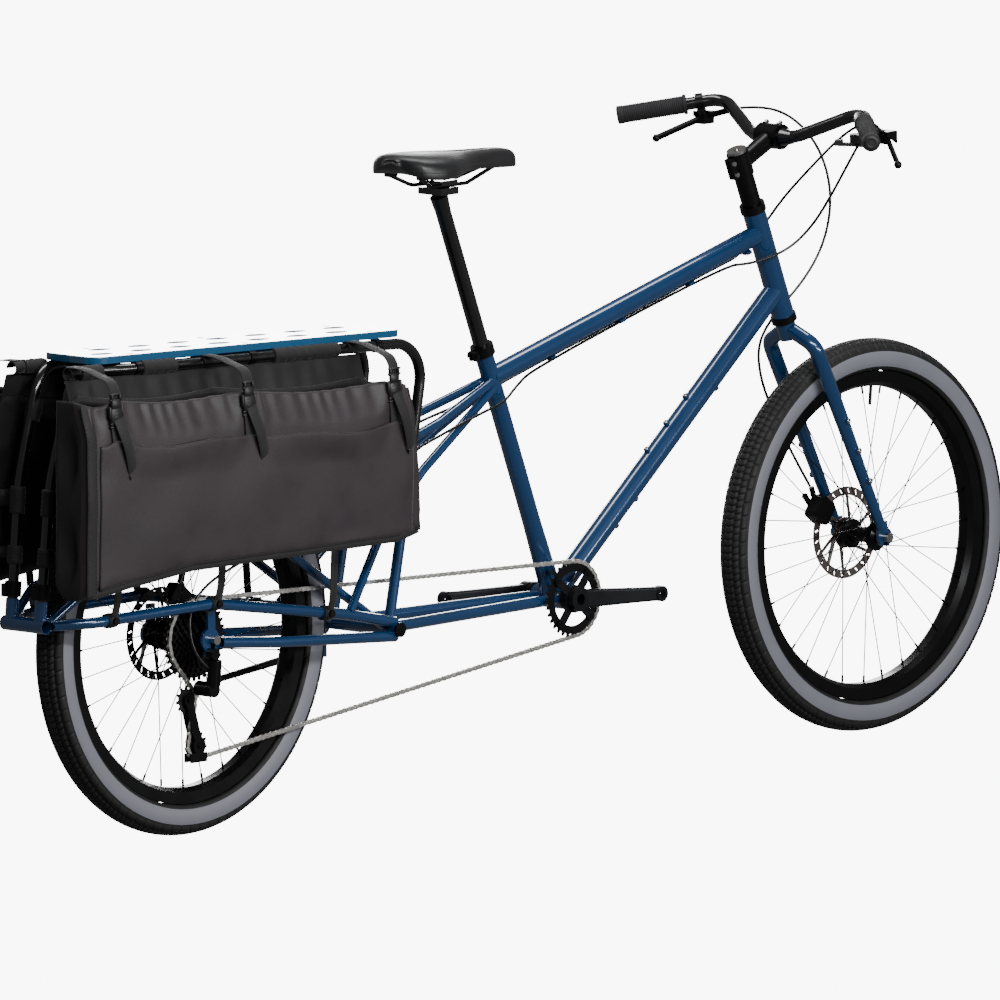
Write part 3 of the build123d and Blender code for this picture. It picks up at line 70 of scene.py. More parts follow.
# ---- Camera ------------------------------------------------------------------------------------
# A very long lens far away, because the object is seen with almost no perspective.  LOOK is the way it looks,
# FAR_EYE is a place on its axis where a FAR_LENS lens would frame the bicycle, and the camera stands nearer by
# the same share as its lens is shorter, so that BIKE_MIDDLE keeps its size.
LENS, FAR_LENS, SENSOR = 1700.0, 3600.0, 36.0
LOOK = Vector((0.71904419, 0.68222128, -0.13247483))
FAR_EYE = Vector((-122.41212, -116.89326, 23.19218))
BIKE_MIDDLE = Vector((0.817, 0.0, 0.5))
ROLL = math.radians(-0.44)
camera_data = bpy.data.cameras.new("camera")
camera_data.lens = LENS
camera_data.sensor_width = SENSOR
camera_data.clip_start, camera_data.clip_end = 1.0, 400.0
camera = bpy.data.objects.new("camera", camera_data)
bpy.context.scene.collection.objects.link(camera)
bpy.context.scene.camera = camera
middle_depth = (BIKE_MIDDLE - FAR_EYE).dot(LOOK)
eye = FAR_EYE + LOOK * middle_depth * (1 - LENS / FAR_LENS)
camera.location = eye + Vector((REAR_AXLE_X, 0, 0))
right = LOOK.cross(Vector((0, 0, 1))).normalized()
up = right.cross(LOOK)
cam_right = right * math.cos(ROLL) + up * math.sin(ROLL)
cam_up = cam_right.cross(LOOK)
turn = [[cam_right[i], cam_up[i], -LOOK[i]] for i in range(3)]
camera.rotation_mode = "QUATERNION"
camera.rotation_quaternion = Matrix(turn).to_quaternion()


def srgb(code):
    """A six-digit sRGB hex value as a linear colour with alpha."""
    values = [int(code[i:i + 2], 16) / 255 for i in (0, 2, 4)]
    return tuple(v / 12.92 if v <= 0.04045 else ((v + 0.055) / 1.055) ** 2.4 for v in values) + (1.0,)


def add(tree, kind, settings=None, **links):
    """One node with its settings; each link is a value or another node's output, and i2 is the third input."""
    made = tree.nodes.new(kind)
    for key, value in (settings or {}).items():
        setattr(made, key, value)
    for key, value in links.items():
        socket = made.inputs[int(key[1:])] if key[1:].isdigit() else made.inputs[key.replace("_", " ")]
        if isinstance(value, bpy.types.NodeSocket):
            tree.links.new(value, socket)
        else:
            socket.default_value = value
    return made


ROUGH_VARY = 0.12  # how far the roughness strays from its middle, as a share
WAVE_TURNS = 3.18  # a Wave texture of scale 1 has about this many crests in one unit


def material(name, colour, rough, metal=0.0, coat=0.0, coat_ior=1.5, sheen=0.0, vary=0.12, vary_mm=60.0,
             bump_mm=0.0, bump_size=1.0, weave_mm=0.0, weave_deep=0.0, dark=None):
    """A surface with blotchy colour and roughness, an optional grain and an optional two-way weave.

    The blotches are noise of period vary_mm, the grain is noise of period bump_size millimetres, and the weave
    multiplies two sine waves of period weave_mm across each other.  The blotches run from dark, or from the
    colour less the share vary, to the colour plus that share.
    """
    made = bpy.data.materials.new(name)
    made.use_nodes = True
    tree = made.node_tree
    tree.nodes.clear()
    out = add(tree, "ShaderNodeOutputMaterial")
    shader = add(tree, "ShaderNodeBsdfPrincipled", Metallic=metal, Coat_Weight=coat, Coat_Roughness=0.05,
                 Coat_IOR=coat_ior, Sheen_Weight=sheen, Sheen_Roughness=0.4)
    tree.links.new(shader.outputs["BSDF"], out.inputs["Surface"])
    where = add(tree, "ShaderNodeTexCoord").outputs["Object"]
    blotch = add(tree, "ShaderNodeTexNoise", Vector=where, Scale=1000 / vary_mm, Detail=3.0)
    full = srgb(colour)
    low = srgb(dark) if dark else tuple(c * (1 - vary) for c in full[:3]) + (1.0,)
    high = tuple(min(1.0, c * (1 + vary)) for c in full[:3]) + (1.0,)
    mixed = add(tree, "ShaderNodeMix", {"data_type": "RGBA"}, i0=blotch.outputs["Fac"], i6=low, i7=high)
    tree.links.new(mixed.outputs[2], shader.inputs["Base Color"])
    spread = add(tree, "ShaderNodeMapRange", Value=blotch.outputs["Fac"], From_Min=0.3, From_Max=0.7,
                 To_Min=max(0.02, rough * (1 - ROUGH_VARY)), To_Max=min(1.0, rough * (1 + ROUGH_VARY)))
    tree.links.new(spread.outputs["Result"], shader.inputs["Roughness"])
    height = None
    if bump_mm:
        grain = add(tree, "ShaderNodeTexNoise", Vector=where, Scale=1000 / bump_size, Detail=2.0)
        height = add(tree, "ShaderNodeMath", {"operation": "MULTIPLY"}, i0=grain.outputs["Fac"], i1=bump_mm * MM)
    if weave_mm:
        waves = []
        for direction in ("X", "Z"):
            waves.append(add(tree, "ShaderNodeTexWave", {"bands_direction": direction}, Vector=where,
                             Scale=1000 / weave_mm / WAVE_TURNS).outputs["Fac"])
        cross = add(tree, "ShaderNodeMath", {"operation": "MULTIPLY"}, i0=waves[0], i1=waves[1])
        scaled = add(tree, "ShaderNodeMath", {"operation": "MULTIPLY"}, i0=cross.outputs[0], i1=weave_deep * MM)
        height = scaled if height is None else add(tree, "ShaderNodeMath", {"operation": "ADD"},
                                                   i0=height.outputs[0], i1=scaled.outputs[0])
    if height is not None:
        bump = add(tree, "ShaderNodeBump", Height=height.outputs[0], Distance=1.0, Strength=1.0)
        tree.links.new(bump.outputs["Normal"], shader.inputs["Normal"])
    return made


# ---- Materials ---------------------------------------------------------------------------------
# Wet enamel over primer, under clear lacquer: deep blue with a long sharp highlight and a faint orange peel.
blue_enamel = material("wet_enamel_ocean_blue", "003662", 0.26, metal=0.25, coat=1.0, coat_ior=1.6,
                       vary=0.10, bump_mm=0.006, bump_size=3.0, vary_mm=90)
# Gloss powder coat on steel tube: black, slightly rippled.
black_powder = material("gloss_black_powder_coat", "0b0b0c", 0.22, coat=0.6, bump_mm=0.010, bump_size=2.5)
# Plywood board sprayed gloss blue: a pale sheen at grazing angles.
blue_board = material("sprayed_board_blue", "064a70", 0.22, coat=1.0, bump_mm=0.012, bump_size=9.0, vary=0.08)
# Coated polyester pack cloth: charcoal, soft sheen, a coarse plain weave drawn at 1.6 mm so that it shows.
pack_cloth = material("coated_polyester_cloth", "2a2226", 0.56, sheen=0.10, vary=0.16, vary_mm=45, weave_mm=1.6,
                      weave_deep=0.10, bump_mm=0.25, bump_size=14, dark="1e181b")
# The same cloth inside and at the ends, where it is the uncoated black face.
inner_cloth = material("black_polyester_cloth", "0b0a0b", 0.75, sheen=0.08, weave_mm=1.6, weave_deep=0.10,
                       bump_mm=0.4, bump_size=18)
# Nylon webbing: ribbed across at 1.5 mm, dull black.
webbing_nylon = material("woven_nylon_webbing", "0c0b0c", 0.7, sheen=0.12, weave_mm=1.5, weave_deep=0.16)
# Tyre compound: carbon black rubber, dull, with a grey bloom in places.
tread_rubber = material("tyre_tread_rubber", "101012", 0.70, vary=0.25, vary_mm=25, bump_mm=0.10, bump_size=1.5)
# Pale sidewall strip, moulded grey rubber, satin.
grey_rubber = material("grey_sidewall_rubber", "75767f", 0.55, vary=0.05, bump_mm=0.05, bump_size=1.5)
# Anodised aluminium, black, satin from bead blasting.
black_anodised = material("black_anodised_aluminium", "101012", 0.30, metal=0.6, bump_mm=0.008, bump_size=0.8)
# Anodised aluminium, dark grey, brushed satin as on forged crank arms.
grey_anodised = material("grey_anodised_aluminium", "26272a", 0.36, metal=0.8, bump_mm=0.008, bump_size=0.8)
# Drawn stainless steel: bright, with fine scatter.
bright_steel = material("drawn_stainless_steel", "b9b6b2", 0.26, metal=1.0, vary=0.10, bump_mm=0.004,
                        bump_size=0.6)
# Ground rotor steel, pinkish where the lamp catches it.
rotor_steel = material("ground_rotor_steel", "a89a96", 0.30, metal=1.0, vary=0.12, bump_mm=0.006, bump_size=0.7)
# Nickel plated chain steel: bright plates with a film of oil.
chain_nickel = material("nickel_plated_chain", "dddbd6", 0.34, metal=1.0, vary=0.18, vary_mm=9)
# Blackened steel, as on chainrings and rails.
dark_steel = material("blackened_steel", "2a2829", 0.33, metal=0.9, bump_mm=0.006, bump_size=0.7)
# Glass filled nylon moulding: black, finely sparked texture.
black_nylon = material("moulded_black_nylon", "121213", 0.48, bump_mm=0.03, bump_size=0.9)
# Extruded cable housing: smooth black plastic.
cable_skin = material("cable_housing_plastic", "0c0c0d", 0.30, bump_mm=0.006, bump_size=1.2)
# Grip rubber: soft, matt, lightly dusty.
grip_rubber = material("soft_grip_rubber", "1d1d1f", 0.80, vary=0.15, vary_mm=20, bump_mm=0.05, bump_size=1.0)
# Synthetic leather: satin black with a pebbled grain 1.2 mm across.
saddle_skin = material("synthetic_leather_black", "131315", 0.42, sheen=0.1, bump_mm=0.07, bump_size=1.2)

by_slot = {
    "frame_paint": blue_enamel, "rack_paint": black_powder, "deck_paint": blue_board, "bag_fabric": pack_cloth,
    "webbing": webbing_nylon, "tyre_rubber": tread_rubber, "black_alloy": black_anodised,
    "grey_alloy": grey_anodised, "bright_steel": bright_steel, "dark_steel": dark_steel,
    "chain_steel": chain_nickel, "black_plastic": black_nylon, "cable_sheath": cable_skin,
    "grip_rubber": grip_rubber, "saddle_cover": saddle_skin,
}
own_finish = {"handlebar": black_powder, "seatpost": black_powder, "front_rotor": rotor_steel,
              "rear_rotor": dark_steel, "cassette": dark_steel, "frame_bolts": dark_steel,
              "front_spokes": dark_steel, "rear_spokes": dark_steel, "guide_pulley": black_nylon,
              "tension_pulley": black_nylon, "front_caliper_arm": black_anodised,
              "rear_caliper_arm": black_anodised}
for row in frame["record"]["subparts"]:
    node_object = frame["nodes"][row["node"]]
    finish = own_finish.get(row["node"], by_slot[row["material_slot"]])
    if not node_object.data.materials:
        node_object.data.materials.append(finish)
    for i in range(len(node_object.data.materials)):
        node_object.data.materials[i] = finish


# ---- Mesh makers -------------------------------------------------------------------------------
def make(name, points, faces, finishes, pick=None, smooth=True):
    """A mesh object from arrays of points in metres and of faces; pick gives each face's finish by number."""
    mesh = bpy.data.meshes.new(name)
    mesh.from_pydata(np.asarray(points, float).tolist(), [], [list(map(int, f)) for f in faces])
    for finish in finishes:
        mesh.materials.append(finish)
    if pick is not None:
        mesh.polygons.foreach_set("material_index", np.asarray(pick, np.int32))
    mesh.polygons.foreach_set("use_smooth", np.full(len(mesh.polygons), smooth))
    mesh.update()
    made = bpy.data.objects.new(name, mesh)
    bpy.context.scene.collection.objects.link(made)
    return made


def quads(rows, columns, wrap_rows=False, wrap_columns=False):
    """Corner numbers of the quads between neighbouring grid points, wrapping round where asked."""
    i = np.arange(rows if wrap_rows else rows - 1)[:, None]
    j = np.arange(columns if wrap_columns else columns - 1)[None, :]
    i2, j2 = (i + 1) % rows, (j + 1) % columns
    corners = [i * columns + j, i * columns + j2, i2 * columns + j2, i2 * columns + j]
    return np.stack([np.broadcast_to(c, (i.size, j.size)) for c in corners], -1).reshape(-1, 4)


def join(parts):
    """Several (points, faces) pairs as one."""
    points, faces, count = [], [], 0
    for p, f in parts:
        points.append(np.asarray(p, float).reshape(-1, 3))
        faces += [[int(k) + count for k in face] for face in f]
        count += len(points[-1])
    return np.concatenate(points), faces


def carry(line, profile, closed=False, caps=True, side=None):
    """A profile carried along a line of points: a ring is its first number along one normal, its second along
    the other.

    The first normal is the side direction with its part along the line taken away, or it is passed on from
    ring to ring in the same way.
    """
    line = np.asarray(line, float)
    profile = np.asarray(profile, float)
    ahead = np.roll(line, -1, 0) - np.roll(line, 1, 0) if closed else np.gradient(line, axis=0)
    ahead /= np.linalg.norm(ahead, axis=1)[:, None]
    normal = np.asarray(side if side is not None else (0.31, 0.22, 0.92), float)
    rings = []
    for place, t in zip(line, ahead):
        normal = np.asarray(side, float) if side is not None else normal
        normal = normal - t * normal.dot(t)
        normal /= np.linalg.norm(normal)
        other = np.cross(t, normal)
        rings.append(place + profile[:, :1] * normal + profile[:, 1:] * other)
    points = np.concatenate(rings)
    faces = quads(len(line), len(profile), closed, True)[:, ::-1].tolist()
    if caps and not closed:
        n = len(profile)
        faces.append(list(range(n)))
        faces.append(list(range(len(points) - 1, len(points) - n - 1, -1)))
    return points, faces


def round_profile(radius, count=12):
    """A circle of points."""
    turn = np.arange(count) * 2 * np.pi / count
    return np.stack([radius * np.cos(turn), radius * np.sin(turn)], 1)


def flat_profile(wide, thick):
    """A strap's section: a rectangle with its corners taken off; the wide way is the side direction."""
    w, t = wide / 2, thick / 2
    c = min(t * 0.6, w * 0.3)
    return np.array([(-w, -t + c), (-w + c, -t), (w - c, -t), (w, -t + c), (w, t - c), (w - c, t), (-w + c, t),
                     (-w, t - c)])


def smooth_line(points, steps=8):
    """A line through the points by Catmull-Rom: each span blends its four neighbours by cubic weights."""
    p = np.asarray(points, float)
    p = np.concatenate([2 * p[:1] - p[1:2], p, 2 * p[-1:] - p[-2:-1]])
    t = (np.arange(steps) / steps)[:, None]
    parts = []
    for k in range(1, len(p) - 2):
        a, b, c, d = p[k - 1], p[k], p[k + 1], p[k + 2]
        parts.append(0.5 * (2 * b + (c - a) * t + (2 * a - 5 * b + 4 * c - d) * t ** 2
                            + (3 * b - a - 3 * c + d) * t ** 3))
    return np.concatenate(parts + [p[-2:-1]])


def block(middle, size, along=(1, 0, 0), upward=(0, 0, 1), soft=0.25):
    """A soft-edged block: a box whose rings shrink near both ends, with cut corners; along is its first axis."""
    u = np.asarray(along, float) / np.linalg.norm(along)
    w = np.asarray(upward, float) - u * np.dot(upward, u)
    w /= np.linalg.norm(w)
    v = np.cross(w, u)
    dx, dy, dz = np.asarray(size, float) / 2
    edge = min(dx, dy, dz) * soft
    ring = np.array([(-dy, -dz + edge), (-dy + edge, -dz), (dy - edge, -dz), (dy, -dz + edge),
                     (dy, dz - edge), (dy - edge, dz), (-dy + edge, dz), (-dy, dz - edge)])
    points = []
    for x, shrink in ((-dx, edge), (-dx + edge, 0), (dx - edge, 0), (dx, edge)):
        r = ring - np.sign(ring) * shrink
        points.append(np.asarray(middle, float) + x * u + r[:, :1] * v + r[:, 1:] * w)
    faces = quads(4, 8, False, True)[:, ::-1].tolist() + [list(range(8)), list(range(31, 23, -1))]
    return np.concatenate(points), faces


def lathe(start, end, outline, count=24):
    """An outline of (distance along, radius) turned about the line from start to end."""
    start, end = np.asarray(start, float), np.asarray(end, float)
    axis = (end - start) / np.linalg.norm(end - start)
    first = np.cross(axis, (0.13, 0.27, 0.95))
    first /= np.linalg.norm(first)
    second = np.cross(axis, first)
    turn = np.arange(count) * 2 * np.pi / count
    spoke = np.cos(turn)[:, None] * first + np.sin(turn)[:, None] * second
    rings = [start + axis * s + spoke * r for s, r in outline]
    faces = quads(len(outline), count, False, True)[:, ::-1].tolist()
    faces += [list(range(count)), list(range(len(outline) * count - 1, (len(outline) - 1) * count - 1, -1))]
    return np.concatenate(rings), faces


def piece(name, parts, finishes, body, replaces=(), pick=None, smooth=True):
    """Parts in millimetres from the rear axle become one object that rides on a body."""
    points, faces = join(parts)
    made = make(name, here(points), faces, finishes, pick, smooth)
    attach(made, body)
    if replaces:
        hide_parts(*replaces)
    return made


# ---- Cables ------------------------------------------------------------------------------------
CABLE_MM = 5.0
GUIDE_DROP = 21.4
TOP_A, TOP_B = np.array([768.0, 0, 708.0]), np.array([1445.0, 0, 891.0])
top_along = (TOP_B - TOP_A) / np.linalg.norm(TOP_B - TOP_A)


def below_top_tube(s, y):
    """A place in the cable guides, s forward from the seat tube and a fixed drop below the top tube's middle."""
    x, z = TOP_A[0] + top_along[0] * s, TOP_A[2] + top_along[2] * s
    return (x + top_along[2] * GUIDE_DROP, y, z - top_along[0] * GUIDE_DROP)


front_brake_route = [
    (1553.6, 159, 1083.5), (1572, 118, 1090), (1592, 66, 1078), (1614, 26, 1034), (1634, 12, 972),
    (1638, 12, 906), (1622, 20, 842), (1586, 34, 786), (1545, 58, 738), (1519, 76, 686), (1524, 76, 628),
    (1551, 74, 568), (1580, 68, 510), (1604, 58, 462), (1621, 50, 428.5)]
rear_brake_route = [
    (1553.6, -159, 1083.5), (1556, -128, 1078), (1546, -88, 1048), (1528, -44, 1000), (1510, 2, 948),
    (1488, 28, 900), (1448, 32, 866), (1402, 18, 850), below_top_tube(600, 5.5), below_top_tube(100, 5.5),
    (812, 20, 690), (768, 34, 668), (700, 40, 655), (600, 47, 631), (450, 57, 592), (300, 66, 551),
    (180, 75, 502), (110, 72, 464), (72, 60, 444)]
shift_route = [
    (1502, -190, 1068), (1513, -181, 1065), (1526, -158, 1048), (1530, -128, 1010), (1521, -98, 956),
    (1506, -70, 905), (1478, -46, 868), (1440, -32, 852), (1396, -18, 843), below_top_tube(600, -5.5),
    below_top_tube(100, -5.5), (812, -20, 690), (768, -34, 668), (700, -40, 655), (600, -47, 631),
    (450, -57, 592), (300, -66, 551), (180, -75, 502), (60, -74, 464), (-14, -70, 436), (-50, -68, 396),
    (-56, -74, 350), (-44, -82, 312), (-24, -86, 296)]


def cable_line(name, route):
    """The route's NURBS spline as a mesh tube, with the points that it follows."""
    curve = bpy.data.curves.new(name, "CURVE")
    curve.dimensions = "3D"
    curve.resolution_u = 12
    spline = curve.splines.new("NURBS")
    spline.points.add(len(route) - 1)
    for control, place in zip(spline.points, here(route)):
        control.co = (*place, 1.0)
    spline.order_u = 3
    spline.use_endpoint_u = True
    made = bpy.data.objects.new(name + "_line", curve)
    bpy.context.scene.collection.objects.link(made)
    bpy.context.view_layer.update()
    line = bpy.data.meshes.new_from_object(made.evaluated_get(bpy.context.evaluated_depsgraph_get()))
    places = np.array([v.co for v in line.vertices])
    bpy.data.objects.remove(made)
    bpy.data.meshes.remove(line)
    points, faces = carry(places, round_profile(CABLE_MM / 2 * MM, 12))
    return make(name, points, faces, [cable_skin]), places


front_cable, front_places = cable_line("front_brake_hose", front_brake_route)
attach(front_cable, "steered")
rear_cable, rear_places = cable_line("rear_brake_hose", rear_brake_route)
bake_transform(rear_cable)
gear_cable, gear_places = cable_line("shift_housing", shift_route)
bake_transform(gear_cable)
for cable, places, node in ((front_cable, front_places, "front_brake_cable"),
                            (rear_cable, rear_places, "rear_brake_cable"),
                            (gear_cable, gear_places, "shift_cable")):
    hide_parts(node)


# ---- Tyres -------------------------------------------------------------------------------------
TREAD_BLOCKS = 180
SECTION_R = 309.0  # the wheel's radius at the middle of the tyre's section
OUTSIDE_Y, OUTSIDE_R = 31.8, 29.3  # half width and half height of the casing, outside
INSIDE_Y, INSIDE_R = 29.0, 26.5
SLANT = 0.0011  # radians of turn for each millimetre from the middle
CROWN_FLAT = 0.86  # a power under 1 flattens the crown
BLOCK_HIGH, BLOCK_WIDE = 2.6, 1.2


def tyre(name, axle_x, body, node):
    """Casing and tread as one grid.

    Round the wheel, each tread pitch has eight steps.  Across it, the section is a circle flattened at the
    crown, from one bead over the top to the other and back inside.  A row of blocks stands above its grooves,
    which open at one step of the pitch, and the grooves slant by shifting each step with its distance from the
    middle.  The pale strip covers the lower part of each sidewall.
    """
    steps = np.array([0.0, 0.12, 0.17, 0.42, 0.5, 0.62, 0.67, 0.92])
    row_a = np.array([0, 0, 1, 1, 1, 1, 1, 1.0])
    row_b = np.array([1, 1, 1, 1, 0, 0, 1, 1.0])
    # angle across the section, and the raised row that it is in: 0 none, 1 middle, 2 second, 3 shoulder
    across = [(-47, 0), (-38, 0), (-30, 0), (-28, 0), (-16, 0), (-4, 0), (8, 0), (19, 0), (21, 0), (27, 0), (29, 3),
              (38, 3), (47, 3), (49, 0), (52, 0), (54, 2), (62, 2), (70, 2), (72, 0), (75, 0), (77, 1), (83.5, 1),
              (90, 1)]
    across += [(180 - a, r) for a, r in across[-2::-1]]
    count = len(across)
    finish = [1 if -29 < a < 20 or 160 < a < 209 else 0 for a, _ in across]
    angles = np.radians([a for a, _ in across])
    rows = np.array([r for _, r in across])
    pitch = 2 * np.pi / TREAD_BLOCKS
    theta = (np.arange(TREAD_BLOCKS)[:, None] + steps[None, :]).ravel() * pitch
    lift = np.zeros((len(theta), count))
    for kind, pattern in ((1, row_a), (2, row_b), (3, row_a)):
        lift[:, rows == kind] = np.tile(pattern, TREAD_BLOCKS)[:, None]
    shoulder = np.where(rows == 3)[0]
    pair = np.tile(np.concatenate([row_a, np.ones(8)]), TREAD_BLOCKS // 2)
    lift[:, shoulder] = pair[:, None]
    y = OUTSIDE_Y * np.cos(angles)
    flat = np.sign(np.sin(angles)) * np.abs(np.sin(angles)) ** CROWN_FLAT
    radius = SECTION_R + OUTSIDE_R * flat
    lean = np.abs(y) * SLANT
    turn = theta[:, None] + lean[None, :]
    out_y, out_r = np.cos(angles), np.sin(angles)
    ys = y[None, :] + lift * BLOCK_WIDE * out_y[None, :]
    rs = radius[None, :] + lift * BLOCK_HIGH * np.maximum(out_r[None, :], 0.35)
    inner = np.radians(np.array([224, 200, 160, 120, 90, 60, 20, -20, -44]))
    inner_y = np.broadcast_to(INSIDE_Y * np.cos(inner), (len(theta), len(inner)))
    inner_r = np.broadcast_to(SECTION_R + INSIDE_R * np.sin(inner), (len(theta), len(inner)))
    ys, rs = np.concatenate([ys, inner_y], 1), np.concatenate([rs, inner_r], 1)
    turn = np.concatenate([turn, np.broadcast_to(theta[:, None], (len(theta), len(inner)))], 1)
    points = np.stack([axle_x + rs * np.sin(turn), ys, AXLE_Z + rs * np.cos(turn)], -1)
    total = count + len(inner)
    faces = quads(len(theta), total, True, True)
    column = np.tile(np.arange(total), len(theta))
    marks = np.array(finish + [0] * len(inner))
    both_pale = (marks[column] == 1) & (marks[(column + 1) % total] == 1)
    return piece(name, [(points, faces)], [tread_rubber, grey_rubber], body, [node],
                 pick=both_pale.astype(int))


tyre("front_tyre_tread", WHEELBASE, "front_wheel", "front_tyre")
tyre("rear_tyre_tread", 0.0, "rear_wheel", "rear_tyre")


# ---- Chain -------------------------------------------------------------------------------------
PITCH = 12.7
RING_Y, COG_Y = -48.0, -33.4


def pitch_radius(teeth):
    """The radius of the circle that a chain's pins lie on."""
    return PITCH / (2 * math.sin(math.pi / teeth))


def chain_points():
    """The chain's line: over the cog and ring, round the lower pulley and up in front of the guide pulley."""
    wheels = [((0.0, AXLE_Z), pitch_radius(32), 1, COG_Y), ((920.0, 314.0), pitch_radius(32), 1, RING_Y),
              ((0.0, 156.0), pitch_radius(11), 1, COG_Y), ((-24.0, 237.0), pitch_radius(11), -1, COG_Y)]
    ends = []
    for k, (centre, radius, spin, y) in enumerate(wheels):
        other, radius_b, spin_b, y_b = wheels[(k + 1) % 4]
        dx, dz = other[0] - centre[0], other[1] - centre[1]
        heading = math.atan2(dz, dx) - math.asin((spin * radius - spin_b * radius_b) / math.hypot(dx, dz))
        left = (-math.sin(heading), math.cos(heading))
        ends.append(((centre[0] + spin * radius * left[0], y, centre[1] + spin * radius * left[1]),
                     (other[0] + spin_b * radius_b * left[0], y_b, other[1] + spin_b * radius_b * left[1])))
    line = []
    for k, (centre, radius, spin, y) in enumerate(wheels):
        arrive, leave = ends[k - 1][1], ends[k][0]
        first = math.atan2(arrive[2] - centre[1], arrive[0] - centre[0])
        sweep = (math.atan2(leave[2] - centre[1], leave[0] - centre[0]) - first) * -spin % (2 * math.pi)
        angles = first - spin * np.linspace(0, sweep, 60)
        line.append(np.stack([centre[0] + radius * np.cos(angles), np.full(60, y),
                              centre[1] + radius * np.sin(angles)], 1))
        share = np.linspace(0, 1, 200)[1:-1, None]
        line.append(np.asarray(ends[k][0]) * (1 - share) + np.asarray(ends[k][1]) * share)
    return np.concatenate(line + [line[0][:1]])


def chain():
    """Figure-of-eight plates in pairs, inner and outer by turns, on rollers half an inch apart."""
    line = chain_points()
    along = np.concatenate([[0], np.cumsum(np.linalg.norm(np.diff(line, axis=0), axis=1))])
    links = int(round(along[-1] / PITCH / 2)) * 2
    marks = np.arange(links + 1) * along[-1] / links
    pins = np.stack([np.interp(marks, along, line[:, i]) for i in range(3)], 1)
    corners = np.radians(np.array([90, 40, 0, -40, -90]))
    half = np.concatenate([np.stack([3.9 * np.cos(corners) + 6.35, 3.9 * np.sin(corners)], 1), [[0, -2.9]]])
    outline = np.concatenate([half, -half])
    n = len(outline)
    plate_faces = [list(range(n)), list(range(2 * n - 1, n - 1, -1))]
    plate_faces += [[i, i + n, (i + 1) % n + n, (i + 1) % n] for i in range(n)]
    parts = []
    for k in range(links):
        a, b = pins[k], pins[k + 1]
        ahead = (b - a) / np.linalg.norm(b - a)
        aside = np.array([0.0, 1.0, 0.0]) - ahead * ahead[1]
        aside /= np.linalg.norm(aside)
        rise = np.cross(ahead, aside)
        offset = 1.9 if k % 2 else 2.7
        flat = (a + b) / 2 + outline[:, :1] * ahead + outline[:, 1:] * rise
        for s in (-1, 1):
            near, far = flat + aside * s * (offset - 0.4), flat + aside * s * (offset + 0.4)
            parts.append((np.concatenate([near, far]), plate_faces if s > 0 else [f[::-1] for f in plate_faces]))
        parts.append(lathe(a - aside * 3.3, a + aside * 3.3, [(0, 1.6), (1.4, 1.6), (1.5, 3.8), (5.1, 3.8),
                                                             (5.2, 1.6), (6.6, 1.6)], 10))
    return piece("chain_links", parts, [chain_nickel], "frame", ["chain"], smooth=False)


chain()


# ---- Bags --------------------------------------------------------------------------------------
RACK_Y, RAIL_OD = 66.0, 19.05
STRAP_X = (-330.0, -5.0, 352.0)
BAG_REAR, BAG_LONG = -402.0, 836.0
BAG_INNER_Y, BAG_OUTER_Y, BAG_SEAM_Y = 84.0, 162.0, 122.0
RAIL_SLEEVES = ((-316.0, -262.0), (-165.0, -82.0), (158.0, 318.0))


def rail_z(x):
    """Height of the rack rail's middle: 814 mm at x 107, falling two degrees toward the front."""
    return 814.0 - (x - 107.0) * math.tan(math.radians(2.0))


def step(a, b, x):
    """Smooth step from 0 at a to 1 at b."""
    t = np.clip((np.asarray(x, float) - a) / (b - a), 0, 1)
    return t * t * (3 - 2 * t)


def ripple(x, z, seed):
    """Slow creases: five sine waves of falling length and height in different directions, by seed."""
    total = np.zeros(np.broadcast(x, z).shape)
    for k in range(1, 6):
        heading = seed * 1.7 + k * 2.399
        total += np.sin((x * np.cos(heading) + z * np.sin(heading)) / (64.0 / k ** 0.8) + seed * k) / k ** 1.1
    return total


def bag_top(x):
    """The mouth's height: a line that sags between the straps by a half sine."""
    line = 796.0 - (x + 396.0) * 41.0 / 806.0
    edges = np.array([-402.0, *STRAP_X, 436.0])
    k = np.clip(np.searchsorted(edges, x) - 1, 0, len(edges) - 2)
    share = (x - edges[k]) / (edges[k + 1] - edges[k])
    return line - 11.0 * np.sin(np.pi * np.clip(share, 0, 1))


def bag_bottom(x):
    """The lower edge's height, lowest at the rear."""
    return np.interp(x, [-402, -300, -140, 369, 430], [449, 462, 477, 475, 488])


def bag_face(x, z, side):
    """The outer face's y: swollen by up to 9 mm in the middle, drawn in near the mouth between the straps, and
    creased by ripples, by gathers under the mouth and by folds that run down beside each strap."""
    v = np.clip((z - bag_bottom(x)) / (bag_top(x) - bag_bottom(x)), 0, 1)
    u = np.clip((x - BAG_REAR) / BAG_LONG, 0, 1)
    swell = 9.0 * np.sin(np.pi * np.clip(v, 0, 1)) ** 0.7 * np.sin(np.pi * u) ** 0.5
    near = np.min([np.abs(x - s) for s in STRAP_X], axis=0)
    drawn = -15.0 * step(0.80, 1.0, v) * step(6, 70, near)
    gathers = 2.6 * step(0.78, 0.97, v) * np.sin(x / 5.6 + 1.3 * np.sin(x / 31.0))
    creases = 1.7 * ripple(x, z, 1.0 if side < 0 else 2.3) * step(0, 0.15, v)
    drag = 3.0 * np.exp(-((near - 26) / 20.0) ** 2) * step(0.45, 0.9, v) * np.cos(z / 19.0)
    return BAG_OUTER_Y + swell + drawn + gathers + creases * 0.9 + drag


